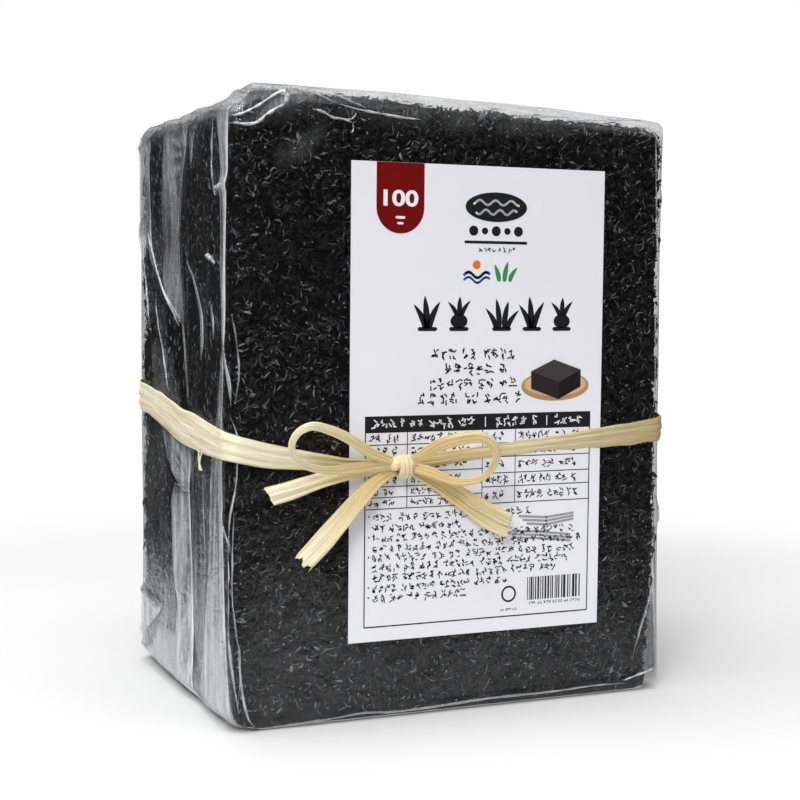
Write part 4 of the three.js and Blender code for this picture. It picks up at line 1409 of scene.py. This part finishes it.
class NORI_OT_print(bpy.types.Operator):
    """Prints the label with plain shapes, bars and a number"""
    bl_idname = "nori_pack.print"
    bl_label = "Label print"

    def execute(self, context):
        settings = context.scene.nori_label
        draws = np.random.default_rng(5)
        black = ink_finish("black ink", settings.ink).material
        red = ink_finish("red ink", settings.tab).material
        white = ink_finish("unprinted", (0.80, 0.80, 0.84)).material
        ink, tab, pale = Print("print_black"), Print("print_tab"), Print("print_white", level=1)
        self.tab(tab, pale)
        number_on_tab(settings, white)
        self.emblem(ink, pale, draws)
        self.title(ink)
        for left, right, z, high in ((-10, 20, 115.4, 3.6), (-5.5, 17.5, 110.6, 4.0), (-10.5, 20.5, 105.9, 3.6),
                                     (-14.8, 24.9, 101.3, 3.7)):
            text_line(ink, draws, left, right, z, high)
        self.table(ink, pale, draws)
        self.small_print(ink, draws)
        self.codes(ink, draws)
        ink.build(black)
        tab.build(red)
        pale.build(white)
        self.picture()
        return {"FINISHED"}

    def tab(self, tab, pale):
        left, right, top, foot = -29.3, -13.1, LABEL_HIGH[2] - 0.05, 161.2
        middle, radius = (left + right) / 2, (right - left) / 2
        arc = [(middle - radius * math.cos(a), foot - radius * math.sin(a)) for a in np.linspace(0, math.pi, 28)]
        tab.polygon([(right, top), (left, top)] + arc)
        pale.bar(middle, 158.1, 3.4, 0.8, cut=0.35)
        pale.bar(middle, 156.3, 2.2, 0.7, cut=0.3)

    def emblem(self, ink, pale, draws):
        """A dark pebble with waves, a row of beads and a line."""
        x, z = 12.2, 162.2
        ink.disc(x, z, 22.0, 9.4)
        for row, size in ((0, 0.72), (1, 0.8)):
            wave = [(x + size * 10 * t, z - 1.6 + row * 3.0 + 0.75 * math.sin(t * 9 + 2 * row))
                    for t in np.linspace(-1, 1, 26)]
            pale.stroke(wave, 0.7)
        for step, size in ((-8, 3.2), (-4, 2.2), (0, 3.2), (4, 2.2), (8, 3.2)):
            ink.disc(x + step, 154.6, size)
        ink.bar(x, 151.0, 22.5, 0.9, cut=0.3)
        text_line(ink, draws, x - 6, x + 7, 148.7, 1.7)

    def title(self, ink):
        """A row of bold plain sprigs of seaweed where a title would stand."""
        foot, step = 123.6, 11.0
        for place, kind in ((-11.6, 0), (-0.6, 1), (14.6, 2), (25.6, 0), (36.6, 1)):
            if kind == 0:
                for lean, high in ((-3.8, 7.6), (-0.8, 10.2), (3.4, 8.4)):
                    ink.blade(place + lean * 0.25, foot, lean, high, 2.2)
            elif kind == 1:
                ink.disc(place, foot + 2.3, 6.0, 4.6)
                for lean, high in ((-2.8, 4.2), (0.2, 5.8), (2.8, 4.6)):
                    ink.blade(place + lean * 0.4, foot + 4.2, lean, high, 1.7)
            else:
                for shift, lean, high in ((-2.2, -3.6, 6.4), (-0.8, -1.2, 9.4), (0.9, 1.4, 8.6), (2.3, 3.8, 5.8)):
                    ink.blade(place + shift, foot, lean, high, 2.0)
            ink.bar(place, foot - 0.2, step * 0.62, 1.3, cut=0.5)

    def table(self, ink, pale, draws):
        left, right, top = -32.4, 47.8, 96.2
        ink.bar((left + right) / 2, 93.6, right - left, 5.2)
        for start, end in ((-30, 5.5), (13, 29), (34.5, 44.5)):
            text_line(pale, draws, start, end, 93.7, 3.3)
        for x in (9.2, 31.6):
            pale.bar(x, 93.6, 0.3, 3.2)
        ink.bar(left, (top + 29.7) / 2, 0.35, top - 29.7)
        ink.bar(right, (top + 29.7) / 2, 0.35, top - 29.7)
        ink.bar((left + right) / 2, 29.7, right - left, 0.4)
        for x in (-18.1, 8.3, 20.2):
            ink.bar(x, 79.0, 0.25, 24.0)
        halves = ((left, 8.3, ((-31.4, -19.2), (-16.9, 6.8)), (91.2, 87.2, 83, 78.5, 74, 70.6, 67)),
                  (8.3, right, ((9.4, 19.2), (21.2, 46.6)), (91.2, 86.6, 82.2, 76.9, 72.5, 67.1)))
        for start, end, cells, rows in halves:
            for z in rows[1:]:
                ink.bar((start + end) / 2, z, end - start, 0.28)
            for high, low in zip(rows, rows[1:]):
                for first, last in cells:
                    text_line(ink, draws, first, draws.uniform(last - 3, last), (high + low) / 2,
                              min(high - low - 1.1, 2.8))

    def small_print(self, ink, draws):
        ends = (26, 3, 44, 46.5, 45.5, 43, 36, 18, 6)
        heights = (64.2, 60.9, 57.7, 54.6, 51.4, 48.3, 45.2, 41.8, 38.6)
        for row, (end, z) in enumerate(zip(ends, heights)):
            if row in (0, 2, 4, 7, 8):
                ink.disc(-31.0, z + 0.5, 0.6, count=8)
            text_line(ink, draws, -29.8, end, z, 2.7)
        smudge = Print("print_grey")
        for row in range(3):
            smudge.stroke([(22 + row * 1.5, 62.4 - row * 1.3), (32, 61.6 - row * 1.2), (42, 62.6 - row)], 0.8)
            smudge.stroke([(18.5 + row, 57.8 - row * 1.2), (30, 56.9 - row * 1.1), (41, 55.4 - row)], 0.75)
        smudge.build(ink_finish("grey ink", (0.30, 0.30, 0.32)).material)

    def codes(self, ink, draws):
        x = 25.3
        while x < 45.2:
            wide = draws.choice((0.28, 0.42, 0.62, 0.85), p=(0.4, 0.3, 0.2, 0.1))
            ink.bar(x + wide / 2, 38.3, wide, 7.6)
            x += wide + draws.choice((0.3, 0.45, 0.7))
        text_line(ink, draws, 26, 45, 33.4, 1.1)
        middle, low, size = 18.5, 35.2, 2.4
        ring = [(middle + size * math.cos(a), low + 1.8 + size * math.sin(a)) for a in np.linspace(0, 2 * math.pi, 25)]
        ink.stroke(ring, 0.6)
        text_line(ink, draws, 15.4, 21.6, 31.9, 0.9)
        blue, orange = Print("print_blue"), Print("print_orange")
        wave = [(1.0 + 9.0 * t, 140.6 + 0.9 * math.sin(t * 9)) for t in np.linspace(0, 1, 20)]
        blue.stroke(wave, 0.9)
        blue.stroke([(a, b - 1.6) for a, b in wave], 0.7)
        orange.disc(5.4, 143.8, 2.8)
        green = Print("print_green")
        for place, lean, high in ((13.4, -1.6, 5.4), (15.4, 1.2, 6.4), (17.4, 2.6, 4.6)):
            green.blade(place, 138.6, lean, high, 1.7)
        green.build(ink_finish("green ink", (0.05, 0.23, 0.08)).material)
        blue.build(ink_finish("blue ink", (0.03, 0.16, 0.45)).material)
        orange.build(ink_finish("orange ink", (0.75, 0.16, 0.03)).material)

    def picture(self):
        """A small picture: a dark block on a round tray."""
        tray, rim, shade, top, front = (Print(f"print_picture_{n}", level=k) for k, n in
                                        enumerate(("tray", "rim", "side", "top", "front")))
        x, z = 34.6, 106.4
        tray.disc(x, z - 1.6, 25.2, 9.8, count=40)
        rim.disc(x, z - 1.0, 22.6, 8.0, count=40)
        block = {"left": (x - 9.0, z + 3.2), "right": (x + 9.4, z + 3.6), "near": (x + 1.2, z - 0.4),
                 "far": (x - 0.6, z + 7.0)}
        drop = 5.6
        lower = {name: (a, b - drop) for name, (a, b) in block.items()}
        shade.polygon([lower["near"], lower["right"], block["right"], block["near"]])
        top.polygon([block["left"], block["near"], block["right"], block["far"]])
        front.polygon([lower["left"], lower["near"], block["near"], block["left"]])
        for drawn, name, colour in ((tray, "tray ink", (0.42, 0.24, 0.10)), (rim, "tray light ink", (0.62, 0.42, 0.2)),
                                    (shade, "block side ink", (0.012, 0.010, 0.012)),
                                    (top, "block top ink", (0.05, 0.042, 0.045)),
                                    (front, "block front ink", (0.022, 0.018, 0.02))):
            drawn.build(ink_finish(name, colour).material)


class NORI_OT_tie(bpy.types.Operator):
    """Makes the raffia round the pack, the knot, the bow and its ends"""
    bl_idname = "nori_pack.tie"
    bl_label = "Raffia tie"

    def execute(self, context):
        self.straw = straw_finish(context.scene.nori_raffia).material
        self.turn()
        self.knot()
        for number, (name, strand) in enumerate(STRANDS.items()):
            count = 110 if "loop" in name else 64
            middle, across, facing = strand_frame(strand["path"], strand["turns"], count)
            t = np.linspace(0, 1, count)
            widths = np.interp(t, np.linspace(0, 1, len(strand["widths"])), strand["widths"])
            depth = 0.30 if "loop" in name else 0.34
            self.keep(straw_strip(name, middle, across, facing, widths, seed=60 + number, depth=depth,
                                  curl=-0.35, cut=strand["cut"]))
        self.stray()
        return {"FINISHED"}

    def keep(self, piece, material=None):
        hand_over(piece, material or self.straw, "raffia", "raffia_tie")

    def turn(self):
        """The turn round the pack, and the flap that is folded under it on the left."""
        route, facing, width = band_route(BAND_STAND)
        up = np.tile((0.0, 0.0, 1.0), (len(route), 1))
        self.keep(straw_strip("tie_turn", route, up, facing, width, seed=51, depth=0.24, curl=-0.3, loop=True))
        route, facing, width = band_route(BAND_STAND - 0.42)
        on_left = (facing[:, 0] < -0.2) & (route[:, 1] < 52) & (route[:, 1] > -60)
        route, facing, width = route[on_left], facing[on_left], width[on_left]
        order = np.argsort(route[:, 1])
        route, facing, width = route[order], facing[order], width[order]
        share = np.linspace(0, 1, len(route))
        narrow = 4.6 * np.sin(np.pi * np.clip(share * 0.95 + 0.03, 0, 1)) ** 0.5
        route[:, 2] -= width * 0.36
        across = np.tile((0.0, 0.0, 1.0), (len(route), 1))
        self.keep(straw_strip("tie_flap", route, across, facing, narrow, seed=52, depth=0.12, curl=-0.1))

    def knot(self):
        """A wrap of straw over the crossing, and the pinched straw inside it."""
        angles = np.radians(np.linspace(-150, 150, 46))
        lobe = np.stack((KNOT[0] + 1.2 + 0 * angles, KNOT[1] - 3.2 * np.cos(angles) + 0.6,
                         KNOT[2] - 0.6 + 3.7 * np.sin(angles)), axis=1)
        facing = unit(np.stack((0 * angles, -np.cos(angles), np.sin(angles)), axis=1))
        across = np.tile((1.0, 0.0, 0.0), (len(angles), 1))
        widths = 3.9 + 1.2 * np.abs(np.sin(angles))
        pale = straw_finish(bpy.context.scene.nori_raffia, "knot straw", warmth=0.5).material
        self.keep(straw_strip("tie_knot_wrap", lobe, across, facing, widths, seed=53, depth=0.4, curl=-0.7), pale)
        deselect()
        bpy.ops.mesh.primitive_uv_sphere_add(segments=48, ring_count=24, radius=1)
        heart = start("tie_knot_heart")
        points = read_points(heart)
        ribs = 1 + 0.05 * np.sin(np.arctan2(points[:, 2], points[:, 1]) * 11) * (1 - points[:, 0] ** 2)
        pinch = 1 - 0.35 * np.exp(-(points[:, 0] / 0.35) ** 2)
        points = points * KNOT_HEART * np.stack((np.ones(len(ribs)), ribs * pinch, ribs * pinch), axis=1)
        write_points(heart, points + KNOT + np.array((0.2, 0.3, 0.4)))
        shade_smooth(heart)
        self.keep(heart, pale)

    def stray(self):
        """A forked fibre that hangs under the turn on the left side."""
        for number, (y, lean) in enumerate(((-29.5, -2.6), (-33.5, 2.6))):
            t = np.linspace(0, 1, 16)
            middle = np.stack((LEFT - 1.5 - 0.5 * np.sin(t * 3), y + lean * t * 1.2, 84.6 - 6.2 * t), axis=1)
            facing = np.tile((-1.0, 0.0, 0.0), (16, 1))
            across = np.tile((0.0, 1.0, 0.0), (16, 1))
            widths = 0.75 + 0.5 * t
            self.keep(straw_strip(f"tie_stray_{number + 1}", middle, across, facing, widths, seed=70 + number,
                                  depth=0.08, curl=0.0))


class NORI_OT_stage(bpy.types.Operator):
    """Sets the floor, the light and the camera"""
    bl_idname = "nori_pack.stage"
    bl_label = "Stage"

    def execute(self, context):
        settings = context.scene.nori_stage
        self.floor(settings)
        self.world(context.scene)
        self.light("overhead", (-0.25, -0.1, 1.25), (0, 0, 0), 1.2, 17)
        self.light("front left", (-0.95, -1.2, 1.05), (0, 0, 0.1), 0.5, 17)
        self.camera(context.scene)
        context.scene.view_settings.view_transform = "Standard"
        return {"FINISHED"}

    def floor(self, settings):
        deselect()
        bpy.ops.mesh.primitive_circle_add(vertices=96, radius=settings.radius, fill_type="NGON")
        floor = start("floor")
        finish = Finish("floor")
        reach = finish.node("ShaderNodeVectorMath", {"operation": "LENGTH"},
                            {0: finish.node("ShaderNodeTexCoord", output="Object")}, output="Value")
        mirrored = finish.node("ShaderNodeLightPath", output="Is Glossy Ray")
        ripple = finish.noise(finish.place(), 0.03, detail=2)
        dark_from = reach + finish.span(ripple, 0.3, 0.7, -0.03, 0.03)
        glow = finish.node("ShaderNodeMix", {"data_type": "FLOAT"}, {
            0: mirrored, 2: finish.span(reach, settings.radius * 0.45, settings.radius * 0.9),
            3: finish.span(dark_from, 0.215, 0.275)}, output=0)
        finish.set(Base_Color=tuple(settings.floor), Roughness=0.6)
        bright = finish.node("ShaderNodeEmission", None, {"Color": (1, 1, 1), "Strength": mirrored * -1.0 + 1.0})
        mixed = finish.tree.nodes.new("ShaderNodeMixShader")
        finish.feed(mixed.inputs[0], glow)
        finish.tree.links.new(finish.shader.outputs[0], mixed.inputs[1])
        finish.tree.links.new(bright.socket, mixed.inputs[2])
        finish.tree.links.new(mixed.outputs[0], finish.tree.nodes["Material Output"].inputs[0])
        floor.data.materials.append(finish.material)

    def world(self, scene):
        """A dim studio with light from above, and white where it is seen directly."""
        world = bpy.data.worlds.new("studio")
        world.use_nodes = True
        scene.world = world
        finish = Finish("studio", world.node_tree)
        direction = finish.node("ShaderNodeTexCoord", output="Generated")
        parts = finish.tree.nodes.new("ShaderNodeSeparateXYZ")
        finish.feed(parts.inputs[0], direction)
        x, y, z = (Value(finish, parts.outputs[k]) for k in range(3))
        behind = finish.span(y, 0.1, 0.75, 0.02, 0.035)
        above = finish.span(z, 0.2, 0.8, 0.0, 0.7)
        strength = finish.node("ShaderNodeMath", {"operation": "MAXIMUM"}, {0: behind, 1: above})
        seen = finish.node("ShaderNodeLightPath", output="Is Camera Ray")
        strength = finish.node("ShaderNodeMix", {"data_type": "FLOAT"}, {0: seen, 2: strength, 3: 1.0}, output=0)
        background = finish.tree.nodes["Background"]
        background.inputs["Color"].default_value = (1, 1, 1, 1)
        finish.feed(background.inputs["Strength"], strength)

    def light(self, name, place, target, size, power):
        deselect()
        bpy.ops.object.light_add(type="AREA", location=place)
        lamp = bpy.context.active_object
        lamp.name = name
        lamp.data.shape = "SQUARE"
        lamp.data.size = size
        lamp.data.energy = power
        aim = Vector(target) - Vector(place)
        lamp.rotation_euler = aim.to_track_quat("-Z", "Y").to_euler()

    def camera(self, scene):
        forward = Vector((math.sin(CAMERA_YAW) * math.cos(CAMERA_PITCH), math.cos(CAMERA_YAW) * math.cos(CAMERA_PITCH),
                          -math.sin(CAMERA_PITCH)))
        level = Vector((math.cos(CAMERA_YAW), -math.sin(CAMERA_YAW), 0))
        upright = level.cross(forward)
        right = level * math.cos(CAMERA_ROLL) + upright * math.sin(CAMERA_ROLL)
        up = upright * math.cos(CAMERA_ROLL) - level * math.sin(CAMERA_ROLL)
        bpy.ops.object.camera_add()
        camera = bpy.context.active_object
        camera.name = "camera"
        turn = Matrix((right, up, -forward)).transposed()
        camera.matrix_world = Matrix.Translation(Vector(CAMERA_PLACE) * MM) @ turn.to_4x4()
        camera.data.lens = CAMERA_LENS
        camera.data.sensor_width = 36
        scene.camera = camera


class NORI_PT_panel(bpy.types.Panel):
    """Buttons and settings of the pack"""
    bl_label = "Nori pack"
    bl_idname = "NORI_PT_panel"
    bl_space_type = "VIEW_3D"
    bl_region_type = "UI"
    bl_category = "Nori pack"

    def draw(self, context):
        for group, operator in (("nori_sheets", NORI_OT_stack), ("nori_film", NORI_OT_film),
                                ("nori_label", NORI_OT_label), (None, NORI_OT_print), ("nori_raffia", NORI_OT_tie),
                                ("nori_stage", NORI_OT_stage)):
            box = self.layout.box()
            box.operator(operator.bl_idname)
            if group:
                settings = getattr(context.scene, group)
                for name in settings.__annotations__:
                    box.prop(settings, name)


GROUPS = {"nori_sheets": NoriSettings, "nori_film": FilmSettings, "nori_label": LabelSettings,
          "nori_raffia": RaffiaSettings, "nori_stage": StageSettings}
OPERATORS = (NORI_OT_stack, NORI_OT_film, NORI_OT_label, NORI_OT_print, NORI_OT_tie, NORI_OT_stage)


def register():
    for name, group in GROUPS.items():
        bpy.utils.register_class(group)
        setattr(bpy.types.Scene, name, bpy.props.PointerProperty(type=group))
    for operator in (*OPERATORS, NORI_PT_panel):
        bpy.utils.register_class(operator)


def unregister():
    for operator in reversed((*OPERATORS, NORI_PT_panel)):
        bpy.utils.unregister_class(operator)
    for name, group in GROUPS.items():
        delattr(bpy.types.Scene, name)
        bpy.utils.unregister_class(group)


def main():
    register()
    bpy.ops.nori_pack.stage()
    bpy.ops.nori_pack.stack()
    bpy.ops.nori_pack.film()
    bpy.ops.nori_pack.label()
    bpy.ops.nori_pack.print()
    bpy.ops.nori_pack.tie()
    deselect()


if __name__ == "__main__":
    main()
